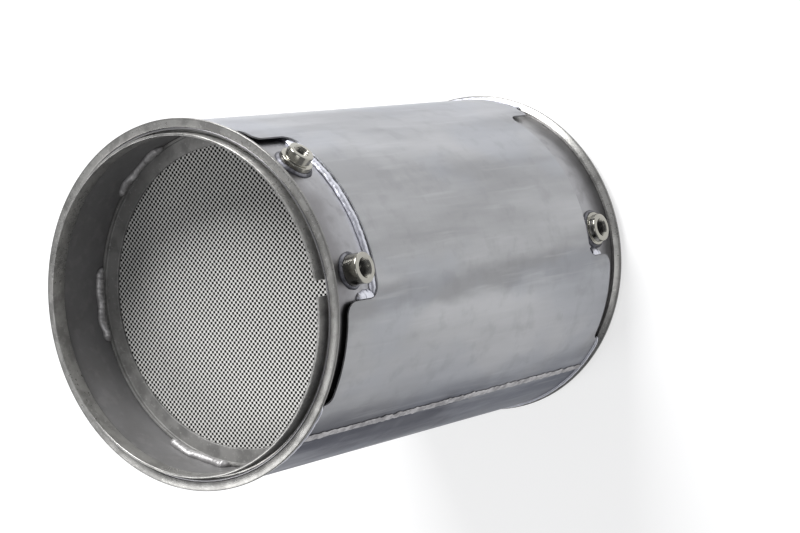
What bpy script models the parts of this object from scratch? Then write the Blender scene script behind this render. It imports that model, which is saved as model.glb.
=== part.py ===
"""Heavy-duty diesel particulate filter canister, standing on its outlet end.

The canister is a wall-flow ceramic block held by a fibre mat inside a steel can. Short end
pipes carry the clamp flanges and the pilot rings, and a rolled heat shield is wrapped round
the can, with a window at each end where the sensor bosses stand.

Metres, +Z along the gas path towards the inlet, origin on the axis at the lowest rim.
"""

import math

import bmesh
import bpy
from mathutils import Matrix, Vector

# Gap left between pieces that are welded or pressed together
SEAT_GAP = 0.0003

# Ceramic block, 12 in by 14 in
BLOCK_RADIUS = 0.1524
BLOCK_LENGTH = 0.3556
CELL_PITCH = 0.020
CELL_WALL = 0.003
CELL_EDGE_MARGIN = 0.0085
CELL_GRID_AZIMUTH = 19.7
PLUG_LENGTH = 0.012

# Fibre mat between block and can
MAT_THICKNESS = 0.0048
MAT_SETBACK = 0.002

# Steel can and its two end pipes
CAN_WALL = 0.0020
END_PIPE_LENGTH = 0.0660

# Retaining ring over each face of the block, a step behind the end pipe
RING_STEP = 0.0012
RING_WALL = 0.0025
RING_FACE_WIDTH = 0.0165
RING_UPSTAND = 0.0035

# Insulation and rolled heat shield
BLANKET_THICKNESS = 0.0034
BLANKET_SETBACK = 0.006
SHIELD_WALL = 0.0015
SHIELD_END_SETBACK = 0.0100
SEAM_AZIMUTH = -30.0
SEAM_GAP = 0.0022

# Window and slit in each end of the heat shield
WINDOW_LOW_ROOM = 0.0264
WINDOW_HIGH_ROOM = 0.0350
SLIT_LOW_REACH = 0.0904
SLIT_HIGH_REACH = 0.0181
WINDOW_CORNER = 0.0125
SLIT_CORNER = 0.0075
SLIT_DEPTH = 0.0190
OUTLET_WINDOW_STEP = 0.0070

# Clamp flange
FLANGE_LIP = 0.0082
FLANGE_EDGE = 0.0026
FLANGE_BACK = 0.0054
FLANGE_BACK_LAND = 0.0025
FLANGE_ROUND = 0.0006

# Pilot ring, a rolled strip that stands proud of the flange
PILOT_PROUD = 0.0095
PILOT_WALL = 0.0025
PILOT_CLEARANCE = 0.0025
PILOT_DEPTH = 0.0068
PILOT_FOOT = 0.0025
PILOT_SPLIT_AZIMUTH = 21.7
PILOT_SPLIT_WIDTH = 0.0140
PILOT_ROUND = 0.0005

# Weld beads
JOINT_BEAD_WIDTH = 0.0080
JOINT_BEAD_HEIGHT = 0.0034
SHIELD_BEAD_HEIGHT = 0.0038
SHIELD_BEAD_ROOT = 0.0006
SHIELD_BEAD_FALL = 0.0010
SEAM_BEAD_WIDTH = 0.0080
SEAM_BEAD_HEIGHT = 0.0011
WINDOW_BEAD_WIDTH = 0.0050
WINDOW_BEAD_LENGTH = 0.0150
WINDOW_BEAD_TURN = 24.0
TACK_AZIMUTHS = (25.0, 84.0, 144.5, 198.1, 267.9, 327.0)
TACK_SPAN = 26.0
TACK_HEIGHT = 0.0046
TACK_WIDTH = 0.0052

# Sensor bosses
BOSS_FROM_JOINT = 0.0300
SENSOR_BOSS_AZIMUTH = 25.5
SENSOR_BOSS_RADIUS = 0.0140
SENSOR_BOSS_HEIGHT = 0.0165
SENSOR_BORE_RADIUS = 0.0082
PRESSURE_BOSS_AZIMUTH = 65.3
PRESSURE_COLLAR_RADIUS = 0.0155
PRESSURE_COLLAR_HEIGHT = 0.0065
PRESSURE_NECK_RADIUS = 0.0120
PRESSURE_BOSS_HEIGHT = 0.0150
PRESSURE_BORE_RADIUS = 0.0065
OUTLET_COLLAR_RADIUS = 0.0168
OUTLET_COLLAR_HEIGHT = 0.0034
OUTLET_BOSS_HEIGHT = 0.0100
BOSS_CHAMFER = 0.0010
BOSS_BEAD = 0.0034

# Sizes that follow from the ones above
CAN_INNER = BLOCK_RADIUS + MAT_THICKNESS + 0.5 * SEAT_GAP
CAN_OUTER = CAN_INNER + CAN_WALL
BLANKET_INNER = CAN_OUTER + SEAT_GAP
SHIELD_INNER = BLANKET_INNER + BLANKET_THICKNESS + SEAT_GAP
SHIELD_OUTER = SHIELD_INNER + SHIELD_WALL
FLANGE_INNER = CAN_OUTER + SEAT_GAP
FLANGE_OUTER = FLANGE_INNER + FLANGE_LIP
PILOT_OUTER = CAN_INNER - PILOT_CLEARANCE
PILOT_INNER = PILOT_OUTER - PILOT_WALL
RING_OUTER = CAN_INNER - SEAT_GAP
RING_INNER = RING_OUTER - RING_FACE_WIDTH
RING_FACE_DEPTH = END_PIPE_LENGTH + RING_STEP
BLOCK_FACE_DEPTH = RING_FACE_DEPTH + RING_WALL + SEAT_GAP
FLANGE_SPAN = BLOCK_LENGTH + 2 * BLOCK_FACE_DEPTH
BOSS_DEPTH = END_PIPE_LENGTH - BOSS_FROM_JOINT
INLET_WINDOW_DEPTH = END_PIPE_LENGTH
OUTLET_WINDOW_DEPTH = END_PIPE_LENGTH - OUTLET_WINDOW_STEP
WINDOW_FROM = SENSOR_BOSS_AZIMUTH - math.degrees(WINDOW_LOW_ROOM / CAN_OUTER)
WINDOW_TO = PRESSURE_BOSS_AZIMUTH + math.degrees(WINDOW_HIGH_ROOM / CAN_OUTER)
SLIT_FROM = WINDOW_FROM - math.degrees(SLIT_LOW_REACH / CAN_OUTER)
SLIT_TO = WINDOW_TO + math.degrees(SLIT_HIGH_REACH / CAN_OUTER)

# Fineness of round forms and of beads
RING_STEPS = 60
BEND_STEP = 360.0 / RING_STEPS
BOSS_STEPS = 24
CORNER_STEPS = 4
SEAM_STEPS = 40
TACK_STEPS = 8
WINDOW_BEAD_STEPS = 6

# Colour, roughness and metallic value of each finish
FINISHES = {
    "brushed_steel": ((0.46, 0.46, 0.47, 1.0), 0.38, 1.0),
    "flange_steel": ((0.35, 0.34, 0.32, 1.0), 0.45, 1.0),
    "heat_tinted_steel": ((0.20, 0.20, 0.20, 1.0), 0.55, 1.0),
    "machined_steel": ((0.50, 0.47, 0.40, 1.0), 0.30, 1.0),
    "weld_metal": ((0.62, 0.62, 0.62, 1.0), 0.42, 1.0),
    "ceramic": ((0.52, 0.51, 0.49, 1.0), 0.90, 0.0),
    "fibre_mat": ((0.75, 0.72, 0.64, 1.0), 1.0, 0.0),
}


class End:
    """One end of the canister: depths are measured inwards from its flange face."""

    def __init__(self, name, face_z, inward, window_depth):
        self.name = name
        self.face_z = face_z
        self.inward = inward
        self.window_depth = window_depth

    def z(self, depth):
        """Height of a point that lies this deep behind the flange face."""
        return self.face_z + self.inward * depth


INLET = End("inlet", PILOT_PROUD + FLANGE_SPAN, -1, INLET_WINDOW_DEPTH)
OUTLET = End("outlet", PILOT_PROUD, 1, OUTLET_WINDOW_DEPTH)
ENDS = (INLET, OUTLET)


def clear_scene():
    """Remove every object, so that the model is alone."""
    for item in list(bpy.data.objects):
        bpy.data.objects.remove(item, do_unlink=True)


def finish_material(key):
    """The Principled material of one finish, made once."""
    if key in bpy.data.materials:
        return bpy.data.materials[key]
    colour, roughness, metallic = FINISHES[key]
    material = bpy.data.materials.new(key)
    material.use_nodes = True
    shader = material.node_tree.nodes["Principled BSDF"]
    shader.inputs["Base Color"].default_value = colour
    shader.inputs["Roughness"].default_value = roughness
    shader.inputs["Metallic"].default_value = metallic
    return material


def add_object(name, bm, finish):
    """Turn a finished bmesh into a named, smooth-shaded object."""
    bmesh.ops.recalc_face_normals(bm, faces=bm.faces)
    mesh = bpy.data.meshes.new(name)
    bm.to_mesh(mesh)
    bm.free()
    mesh.materials.append(finish_material(finish))
    mesh.shade_smooth()
    mesh.set_sharp_from_angle(angle=math.radians(28))
    item = bpy.data.objects.new(name, mesh)
    bpy.context.collection.objects.link(item)
    return item


def polar(radius, azimuth, z):
    """Point at a radius and an azimuth in degrees."""
    turn = math.radians(azimuth)
    return Vector((radius * math.cos(turn), radius * math.sin(turn), z))


def on_bends(radius, azimuth, z):
    """Point on a rolled sheet, which is flat between one bend line and the next."""
    bend = math.floor(azimuth / BEND_STEP + 1e-6)
    share = azimuth / BEND_STEP - bend
    first = polar(radius, bend * BEND_STEP, z)
    second = polar(radius, (bend + 1) * BEND_STEP, z)
    return first.lerp(second, share)


def loft(bm, sections, closed=False):
    """Skin a row of equal sections, with an end face at each end unless the row closes."""
    rows = [[bm.verts.new(point) for point in section] for section in sections]
    pairs = list(zip(rows, rows[1:]))
    if closed:
        pairs.append((rows[-1], rows[0]))
    for first, second in pairs:
        for i in range(len(first)):
            j = (i + 1) % len(first)
            bm.faces.new((first[i], first[j], second[j], second[i]))
    if not closed:
        bm.faces.new(rows[0])
        bm.faces.new(list(reversed(rows[-1])))


def bend_azimuths(start, stop):
    """The two limits of an arc and every bend line between them."""
    first = math.floor(start / BEND_STEP + 1e-6) + 1
    last = math.ceil(stop / BEND_STEP - 1e-6) - 1
    return [start] + [k * BEND_STEP for k in range(first, last + 1)] + [stop]


def turned_ring(name, profile, finish):
    """A closed profile of (radius, z) points turned all the way round."""
    bm = bmesh.new()
    sections = []
    for k in range(RING_STEPS):
        sections.append([polar(r, k * BEND_STEP, z) for r, z in profile])
    loft(bm, sections, closed=True)
    return add_object(name, bm, finish)


def end_ring(end, suffix, profile, finish):
    """A turned ring of one end, from a profile of (radius, depth) points."""
    return turned_ring(f"{end.name}_{suffix}", [(r, end.z(d)) for r, d in profile], finish)


def rounded_outline(corners):
    """Points of a flat outline whose corners (x, y, radius) are rounded by arcs."""
    points = []
    count = len(corners)
    for i, (x, y, radius) in enumerate(corners):
        here = Vector((x, y))
        if radius <= 0:
            points.append(here)
            continue
        back = (Vector(corners[i - 1][:2]) - here).normalized()
        ahead = (Vector(corners[(i + 1) % count][:2]) - here).normalized()
        start = here + back * radius
        centre = start + ahead * radius
        for step in range(CORNER_STEPS + 1):
            turn = 0.5 * math.pi * step / CORNER_STEPS
            arc = ahead * math.cos(turn) + back * math.sin(turn)
            points.append(centre - arc * radius)
    return points


def shield_end_corners(end, reach):
    """Corners along one end edge of the flat blank, from low to high azimuth."""
    low = end.z(SHIELD_END_SETBACK)
    slit = end.z(SLIT_DEPTH)
    deep = end.z(end.window_depth)
    return [
        (reach(SLIT_FROM), low, 0),
        (reach(SLIT_FROM), slit, SLIT_CORNER),
        (reach(WINDOW_FROM), slit, WINDOW_CORNER),
        (reach(WINDOW_FROM), deep, WINDOW_CORNER),
        (reach(WINDOW_TO), deep, WINDOW_CORNER),
        (reach(WINDOW_TO), slit, SLIT_CORNER),
        (reach(SLIT_TO), slit, SLIT_CORNER),
        (reach(SLIT_TO), low, 0),
    ]


def outer_shield():
    """Heat shield: a flat blank with both windows cut, then rolled round the can."""

    def reach(azimuth):
        return math.radians(azimuth) * SHIELD_OUTER

    def azimuth_of(x):
        return math.degrees(x / SHIELD_OUTER)

    half_gap = math.degrees(0.5 * SEAM_GAP / SHIELD_OUTER)
    start = SEAM_AZIMUTH + half_gap
    stop = SEAM_AZIMUTH + 360.0 - half_gap
    corners = [(reach(start), INLET.z(SHIELD_END_SETBACK), 0)]
    corners += shield_end_corners(INLET, reach)
    corners.append((reach(stop), INLET.z(SHIELD_END_SETBACK), 0))
    corners.append((reach(stop), OUTLET.z(SHIELD_END_SETBACK), 0))
    corners += reversed(shield_end_corners(OUTLET, reach))
    corners.append((reach(start), OUTLET.z(SHIELD_END_SETBACK), 0))

    bm = bmesh.new()
    verts = [bm.verts.new((p.x, p.y, 0.0)) for p in rounded_outline(corners)]
    edges = [bm.edges.new((a, b)) for a, b in zip(verts, verts[1:] + verts[:1])]
    bmesh.ops.triangle_fill(bm, edges=edges, use_dissolve=False)
    bends = [reach(azimuth) for azimuth in bend_azimuths(start, stop)[1:-1]]
    for x in bends:
        everything = bm.verts[:] + bm.edges[:] + bm.faces[:]
        bmesh.ops.bisect_plane(
            bm, geom=everything, dist=1e-7, plane_co=(x, 0, 0), plane_no=(1, 0, 0)
        )
    inner = [e for e in bm.edges if len(e.link_faces) == 2 and not lies_on_bend(e, bends)]
    bmesh.ops.dissolve_edges(bm, edges=inner, use_verts=False)
    idle = [v for v in bm.verts if len(v.link_edges) == 2 and not v.is_boundary]
    bmesh.ops.dissolve_verts(bm, verts=idle)
    grown = bmesh.ops.extrude_face_region(bm, geom=bm.faces[:])["geom"]
    for vert in (item for item in grown if isinstance(item, bmesh.types.BMVert)):
        vert.co.z = -SHIELD_WALL
    for vert in bm.verts:
        vert.co = on_bends(SHIELD_OUTER + vert.co.z, azimuth_of(vert.co.x), vert.co.y)
    return add_object("outer_shield", bm, "brushed_steel")


def lies_on_bend(edge, bends):
    """Whether both ends of a flat edge are on the same bend line."""
    first, second = (vert.co.x for vert in edge.verts)
    return abs(first - second) < 1e-6 and min(abs(first - x) for x in bends) < 1e-6


def ceramic_block():
    """Wall-flow block: square channels, plugged in turn at one face and at the other."""
    low = OUTLET.z(BLOCK_FACE_DEPTH)
    high = INLET.z(BLOCK_FACE_DEPTH)
    block = turned_cylinder("filter_block", BLOCK_RADIUS, low, high, "ceramic")
    reach = RING_INNER - CELL_EDGE_MARGIN
    side = 0.5 * (CELL_PITCH - CELL_WALL)
    count = int(reach / CELL_PITCH) + 1
    bm = bmesh.new()
    for i in range(-count, count + 1):
        for j in range(-count, count + 1):
            if CELL_PITCH * math.hypot(i, j) + side > reach:
                continue
            shift = PLUG_LENGTH if (i + j) % 2 == 0 else -PLUG_LENGTH
            add_box(bm, i * CELL_PITCH, j * CELL_PITCH, side, low + shift, high + shift)
    turn = Matrix.Rotation(math.radians(CELL_GRID_AZIMUTH), 3, "Z")
    bmesh.ops.rotate(bm, cent=(0, 0, 0), matrix=turn, verts=bm.verts)
    channels = add_object("channel_cutter", bm, "ceramic")
    cut_away(block, channels)
    return block


def add_box(bm, x, y, half, z_low, z_high):
    """A square prism about a point, between two heights."""
    loop = [(x - half, y - half), (x + half, y - half), (x + half, y + half), (x - half, y + half)]
    loft(bm, [[Vector((px, py, z)) for px, py in loop] for z in (z_low, z_high)])


def turned_cylinder(name, radius, z_low, z_high, finish):
    """A solid round bar between two heights."""
    bm = bmesh.new()
    azimuths = [k * BEND_STEP for k in range(RING_STEPS)]
    loft(bm, [[polar(radius, a, z) for a in azimuths] for z in (z_low, z_high)])
    return add_object(name, bm, finish)


def cut_away(item, cutter):
    """Take a cutter's volume out of an object, and keep the cutter hidden as a wire guide."""
    cutter.hide_render = True
    cutter.display_type = "WIRE"
    boolean = item.modifiers.new("cut", "BOOLEAN")
    boolean.operation = "DIFFERENCE"
    boolean.solver = "EXACT"
    boolean.object = cutter


def support_mat():
    """Fibre mat wrapped round the block, short of both of its faces."""
    low = OUTLET.z(BLOCK_FACE_DEPTH + MAT_SETBACK)
    high = INLET.z(BLOCK_FACE_DEPTH + MAT_SETBACK)
    inner = BLOCK_RADIUS + SEAT_GAP
    outer = CAN_INNER - SEAT_GAP
    profile = [(inner, low), (outer, low), (outer, high), (inner, high)]
    return turned_ring("support_mat", profile, "fibre_mat")


def filter_can():
    """Steel can round the mat, between the two end pipes."""
    low = OUTLET.z(END_PIPE_LENGTH + SEAT_GAP)
    high = INLET.z(END_PIPE_LENGTH + SEAT_GAP)
    profile = [(CAN_INNER, low), (CAN_OUTER, low), (CAN_OUTER, high), (CAN_INNER, high)]
    return turned_ring("filter_can", profile, "brushed_steel")


def insulation_blanket():
    """Insulation between the can and the heat shield."""
    low = OUTLET.z(END_PIPE_LENGTH + BLANKET_SETBACK)
    high = INLET.z(END_PIPE_LENGTH + BLANKET_SETBACK)
    outer = BLANKET_INNER + BLANKET_THICKNESS
    profile = [(BLANKET_INNER, low), (outer, low), (outer, high), (BLANKET_INNER, high)]
    return turned_ring("insulation_blanket", profile, "fibre_mat")


def end_pipe(end, bosses):
    """Pipe that carries the flange, drilled under each boss."""
    profile = [
        (CAN_INNER, 0.0),
        (CAN_OUTER, 0.0),
        (CAN_OUTER, END_PIPE_LENGTH),
        (CAN_INNER, END_PIPE_LENGTH),
    ]
    pipe = end_ring(end, "end_pipe", profile, "heat_tinted_steel")
    bm = bmesh.new()
    for azimuth, bore in bosses:
        frame = boss_frame(end, azimuth)
        spread = (-2 * CAN_WALL, 2 * CAN_WALL)
        loft(bm, [[frame(bore, turn, height) for turn in boss_turns()] for height in spread])
    cut_away(pipe, add_object(f"{end.name}_drill_cutter", bm, "heat_tinted_steel"))
    return pipe


def clamp_flange(end):
    """Flange whose tapered back a clamp pulls on."""
    profile = [
        (FLANGE_INNER, 0.0),
        (FLANGE_OUTER - FLANGE_ROUND, 0.0),
        (FLANGE_OUTER, FLANGE_ROUND),
        (FLANGE_OUTER, FLANGE_EDGE),
        (FLANGE_INNER + FLANGE_BACK_LAND, FLANGE_BACK),
        (FLANGE_INNER, FLANGE_BACK),
    ]
    return end_ring(end, "flange", profile, "flange_steel")


def pilot_ring(end):
    """Rolled strip with an outward foot, split where its two ends meet."""
    foot = CAN_INNER - SEAT_GAP
    profile = [
        (PILOT_INNER, PILOT_DEPTH),
        (PILOT_INNER, PILOT_ROUND - PILOT_PROUD),
        (PILOT_INNER + PILOT_ROUND, -PILOT_PROUD),
        (PILOT_OUTER - PILOT_ROUND, -PILOT_PROUD),
        (PILOT_OUTER, PILOT_ROUND - PILOT_PROUD),
        (PILOT_OUTER, PILOT_DEPTH - PILOT_FOOT),
        (foot, PILOT_DEPTH - PILOT_FOOT),
        (foot, PILOT_DEPTH),
    ]
    half = math.degrees(0.5 * PILOT_SPLIT_WIDTH / PILOT_OUTER)
    start = PILOT_SPLIT_AZIMUTH + half
    stop = PILOT_SPLIT_AZIMUTH + 360.0 - half
    bm = bmesh.new()
    sections = []
    for azimuth in bend_azimuths(start, stop):
        sections.append([on_bends(r, azimuth, end.z(d)) for r, d in profile])
    loft(bm, sections)
    return add_object(f"{end.name}_pilot_ring", bm, "flange_steel")


def retaining_ring(end):
    """Angle ring that holds the block's face and covers the mat."""
    top = RING_FACE_DEPTH - RING_UPSTAND
    inside = RING_OUTER - RING_WALL
    profile = [
        (RING_INNER, RING_FACE_DEPTH),
        (inside, RING_FACE_DEPTH),
        (inside, top),
        (RING_OUTER, top),
        (RING_OUTER, RING_FACE_DEPTH + RING_WALL),
        (RING_INNER, RING_FACE_DEPTH + RING_WALL),
    ]
    return end_ring(end, "retaining_ring", profile, "heat_tinted_steel")


def joint_weld(end):
    """Bead round the joint of the end pipe and the can."""
    base = CAN_OUTER + SEAT_GAP
    half = 0.5 * JOINT_BEAD_WIDTH
    middle = END_PIPE_LENGTH - 0.3 * JOINT_BEAD_WIDTH
    profile = [
        (base, middle - half),
        (base, middle + half),
        (base + JOINT_BEAD_HEIGHT, middle + 0.55 * half),
        (base + JOINT_BEAD_HEIGHT, middle - 0.05 * half),
    ]
    return end_ring(end, "joint_weld", profile, "weld_metal")


def uneven(step, amount, phase=0.0):
    """A factor near 1 that wanders from one step of a hand-laid bead to the next."""
    wave = math.sin(2.1 * step + phase) + 0.6 * math.sin(5.3 * step + 1.7 * phase)
    return 1.0 + amount * wave / 1.6


def shield_weld(end):
    """Bead between the heat shield's end edge and the back of the flange."""
    near = FLANGE_BACK + SEAT_GAP
    far = SHIELD_END_SETBACK - SEAT_GAP
    crest = near + 0.4 * (far - near)
    root = SHIELD_INNER - SHIELD_BEAD_ROOT
    bm = bmesh.new()
    sections = []
    for step, azimuth in enumerate(bend_azimuths(SLIT_TO, SLIT_FROM + 360.0)):
        crown = SHIELD_INNER + SHIELD_BEAD_HEIGHT * uneven(step, 0.08)
        shoulder = crown - SHIELD_BEAD_FALL
        profile = [(root, near), (root, far), (shoulder, far), (crown, crest), (shoulder, near)]
        sections.append([on_bends(r, azimuth, end.z(d)) for r, d in profile])
    loft(bm, sections)
    return add_object(f"{end.name}_shield_weld", bm, "weld_metal")


def seam_weld():
    """Rippled bead that closes the rolled shield's two long edges."""
    low = OUTLET.z(SHIELD_END_SETBACK)
    high = INLET.z(SHIELD_END_SETBACK)
    root = 0.5 * SEAM_GAP - SEAT_GAP
    base = SHIELD_OUTER + SEAT_GAP
    out = polar(1.0, SEAM_AZIMUTH, 0.0)
    side = polar(1.0, SEAM_AZIMUTH + 90.0, 0.0)
    bm = bmesh.new()
    sections = []
    for step in range(SEAM_STEPS + 1):
        half = 0.5 * SEAM_BEAD_WIDTH * uneven(step, 0.10)
        crown = SEAM_BEAD_HEIGHT * uneven(step, 0.18, 0.8)
        profile = [
            (root, SHIELD_INNER),
            (root, base),
            (half, base),
            (0.6 * half, base + crown),
        ]
        profile += [(-across, r) for across, r in reversed(profile)]
        rise = Vector((0, 0, low + (high - low) * step / SEAM_STEPS))
        sections.append([out * r + side * across + rise for across, r in profile])
    loft(bm, sections)
    return add_object("shield_seam_weld", bm, "weld_metal")


def tack_weld(end, bead, middle):
    """Stitch bead in the corner between the end pipe and the retaining ring's edge."""
    wall = CAN_INNER - SEAT_GAP
    foot = RING_FACE_DEPTH - RING_UPSTAND - SEAT_GAP
    start = middle - 0.5 * TACK_SPAN
    bm = bmesh.new()
    sections = []
    for step in range(TACK_STEPS + 1):
        azimuth = start + TACK_SPAN * step / TACK_STEPS
        swell = math.sin(math.pi * (step + 0.7) / (TACK_STEPS + 1.4)) ** 0.35
        height = TACK_HEIGHT * swell * uneven(step, 0.14, bead)
        width = TACK_WIDTH * swell * uneven(step, 0.12, bead + 2.0)
        profile = [
            (wall, foot),
            (wall, foot - width),
            (wall - 0.6 * height, foot - 0.85 * width),
            (wall - height, foot - 0.35 * width),
            (wall - 0.85 * height, foot),
        ]
        sections.append([on_bends(r, azimuth, end.z(d)) for r, d in profile])
    loft(bm, sections)
    return add_object(f"{end.name}_tack_weld_{bead}", bm, "weld_metal")


def window_weld(end):
    """Bead along the window's side and into its deep corner, between can and shield edge."""
    base = CAN_OUTER + SEAT_GAP
    edge = math.radians(WINDOW_FROM) * CAN_OUTER + 2 * SEAT_GAP
    bend = end.window_depth - WINDOW_CORNER
    turn = math.radians(WINDOW_BEAD_TURN)
    length = WINDOW_BEAD_LENGTH + WINDOW_CORNER * turn
    bm = bmesh.new()
    sections = []
    for step in range(WINDOW_BEAD_STEPS + 1):
        station = length * step / WINDOW_BEAD_STEPS
        round_corner = max(0.0, station - WINDOW_BEAD_LENGTH) / WINDOW_CORNER
        straight = min(station, WINDOW_BEAD_LENGTH) - WINDOW_BEAD_LENGTH
        swell = 0.35 + 0.65 * math.sin(0.5 * math.pi * min(1.0, 2.0 * station / length))
        swell *= uneven(step, 0.08)
        wide = WINDOW_BEAD_WIDTH * swell
        tall = (SHIELD_OUTER - base) * swell
        profile = [
            (0.0, 0.0),
            (wide, 0.0),
            (0.7 * wide, 0.55 * tall),
            (0.15 * wide, 0.95 * tall),
            (0.0, 0.95 * tall),
        ]
        section = []
        for across, up in profile:
            arm = WINDOW_CORNER - across
            round_way = edge + WINDOW_CORNER - arm * math.cos(round_corner)
            depth = bend + straight + arm * math.sin(round_corner)
            section.append(on_bends(base + up, math.degrees(round_way / CAN_OUTER), end.z(depth)))
        sections.append(section)
    loft(bm, sections)
    return add_object(f"{end.name}_window_weld", bm, "weld_metal")


def boss_turns():
    """Angles round a boss's own axis."""
    return [math.radians(360.0 * k / BOSS_STEPS) for k in range(BOSS_STEPS)]


def boss_frame(end, azimuth):
    """A function that places (radius, turn, height over the can) points of one boss."""
    out = polar(1.0, azimuth, 0.0)
    side = polar(1.0, azimuth + 90.0, 0.0)
    height_of_axis = end.z(BOSS_DEPTH)

    def place(radius, turn, height):
        across = radius * math.cos(turn)
        along = radius * math.sin(turn)
        return out * (CAN_OUTER + height) + side * across + Vector((0, 0, height_of_axis + along))

    return place


def seated(point):
    """Move a boss's lower point along its axis onto the can, with the seat gap."""
    azimuth = math.degrees(math.atan2(point.y, point.x))
    surface = on_bends(CAN_OUTER, azimuth, point.z)
    return Vector((surface.x, surface.y, 0)).length + SEAT_GAP


def turned_boss(name, end, azimuth, profile, finish):
    """A boss turned about its own axis, with its foot shaped to the round can.

    The profile runs from the outer foot over the top to the bore's foot as (radius, height)
    points, and its first and last points are the foot.
    """
    place = boss_frame(end, azimuth)
    out = polar(1.0, azimuth, 0.0)
    bm = bmesh.new()
    sections = []
    for turn in boss_turns():
        section = []
        for index, (radius, height) in enumerate(profile):
            point = place(radius, turn, height)
            if index in (0, len(profile) - 1):
                reach = seated(point)
                across = radius * math.cos(turn)
                lift = math.sqrt(reach * reach - across * across) - point.dot(out)
                point += out * lift
            section.append(point)
        sections.append(section)
    loft(bm, sections, closed=True)
    return add_object(name, bm, finish)


def sensor_boss():
    """Tall threaded boss for the exhaust gas sensor at the inlet."""
    top = SENSOR_BOSS_HEIGHT
    profile = [
        (SENSOR_BOSS_RADIUS, 0.0),
        (SENSOR_BOSS_RADIUS, top - BOSS_CHAMFER),
        (SENSOR_BOSS_RADIUS - BOSS_CHAMFER, top),
        (SENSOR_BORE_RADIUS + BOSS_CHAMFER, top),
        (SENSOR_BORE_RADIUS, top - BOSS_CHAMFER),
        (SENSOR_BORE_RADIUS, 0.0),
    ]
    return turned_boss("inlet_sensor_boss", INLET, SENSOR_BOSS_AZIMUTH, profile, "machined_steel")


def pressure_boss():
    """Stepped boss for the pressure line at the inlet."""
    top = PRESSURE_BOSS_HEIGHT
    profile = [
        (PRESSURE_COLLAR_RADIUS, 0.0),
        (PRESSURE_COLLAR_RADIUS, PRESSURE_COLLAR_HEIGHT - BOSS_CHAMFER),
        (PRESSURE_COLLAR_RADIUS - BOSS_CHAMFER, PRESSURE_COLLAR_HEIGHT),
        (PRESSURE_NECK_RADIUS, PRESSURE_COLLAR_HEIGHT),
        (PRESSURE_NECK_RADIUS, top - BOSS_CHAMFER),
        (PRESSURE_NECK_RADIUS - BOSS_CHAMFER, top),
        (PRESSURE_BORE_RADIUS + BOSS_CHAMFER, top),
        (PRESSURE_BORE_RADIUS, top - BOSS_CHAMFER),
        (PRESSURE_BORE_RADIUS, 0.0),
    ]
    return turned_boss("inlet_pressure_boss", INLET, PRESSURE_BOSS_AZIMUTH, profile, "machined_steel")


def outlet_boss():
    """Short boss with a wide collar for the sensor at the outlet."""
    top = OUTLET_BOSS_HEIGHT
    profile = [
        (OUTLET_COLLAR_RADIUS, 0.0),
        (OUTLET_COLLAR_RADIUS, OUTLET_COLLAR_HEIGHT),
        (SENSOR_BOSS_RADIUS, OUTLET_COLLAR_HEIGHT),
        (SENSOR_BOSS_RADIUS, top - BOSS_CHAMFER),
        (SENSOR_BOSS_RADIUS - BOSS_CHAMFER, top),
        (SENSOR_BORE_RADIUS + BOSS_CHAMFER, top),
        (SENSOR_BORE_RADIUS, top - BOSS_CHAMFER),
        (SENSOR_BORE_RADIUS, 0.0),
    ]
    return turned_boss("outlet_sensor_boss", OUTLET, SENSOR_BOSS_AZIMUTH, profile, "machined_steel")


def boss_weld(name, end, azimuth, radius):
    """Fillet bead round a boss's foot."""
    inner = radius + SEAT_GAP
    place = boss_frame(end, azimuth)
    out = polar(1.0, azimuth, 0.0)
    bm = bmesh.new()
    sections = []
    for step, turn in enumerate(boss_turns()):
        bead = BOSS_BEAD * uneven(step, 0.08)
        section = []
        for reach_out, rise in ((0.0, 0.0), (bead, 0.0), (0.45 * bead, 0.7 * bead), (0.0, bead)):
            point = place(inner + reach_out, turn, 0.0)
            across = (inner + reach_out) * math.cos(turn)
            lift = math.sqrt(seated(point) ** 2 - across * across) - point.dot(out)
            section.append(point + out * (lift + rise))
        sections.append(section)
    loft(bm, sections, closed=True)
    return add_object(name, bm, "weld_metal")


def build():
    """Make every piece of the canister."""
    clear_scene()
    ceramic_block()
    support_mat()
    filter_can()
    insulation_blanket()
    outer_shield()
    seam_weld()
    inlet_bores = [
        (SENSOR_BOSS_AZIMUTH, SENSOR_BORE_RADIUS),
        (PRESSURE_BOSS_AZIMUTH, PRESSURE_BORE_RADIUS),
    ]
    end_pipe(INLET, inlet_bores)
    end_pipe(OUTLET, [(SENSOR_BOSS_AZIMUTH, SENSOR_BORE_RADIUS)])
    for end in ENDS:
        clamp_flange(end)
        pilot_ring(end)
        retaining_ring(end)
        joint_weld(end)
        shield_weld(end)
        for bead, middle in enumerate(TACK_AZIMUTHS, start=1):
            tack_weld(end, bead, middle)
        window_weld(end)
    sensor_boss()
    pressure_boss()
    outlet_boss()
    boss_weld("inlet_sensor_boss_weld", INLET, SENSOR_BOSS_AZIMUTH, SENSOR_BOSS_RADIUS)
    boss_weld("inlet_pressure_boss_weld", INLET, PRESSURE_BOSS_AZIMUTH, PRESSURE_COLLAR_RADIUS)
    boss_weld("outlet_sensor_boss_weld", OUTLET, SENSOR_BOSS_AZIMUTH, OUTLET_COLLAR_RADIUS)


build()
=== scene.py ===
"""Dressed model of a heavy-duty diesel particulate filter canister.

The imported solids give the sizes. This script lays finer sheet metal, rings, bosses, weld
beads and the fine ceramic honeycomb over them, gives each piece its finish, and sets up a
plain pale studio with the camera at the photograph's angle.

Metres, +Z towards the inlet end, which is up.
"""

from __future__ import annotations

import logging
import math
from dataclasses import dataclass, field
from enum import Enum
from typing import Any, Callable, Sequence

import bmesh
import bpy
from mathutils import Matrix, Vector, noise

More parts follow.
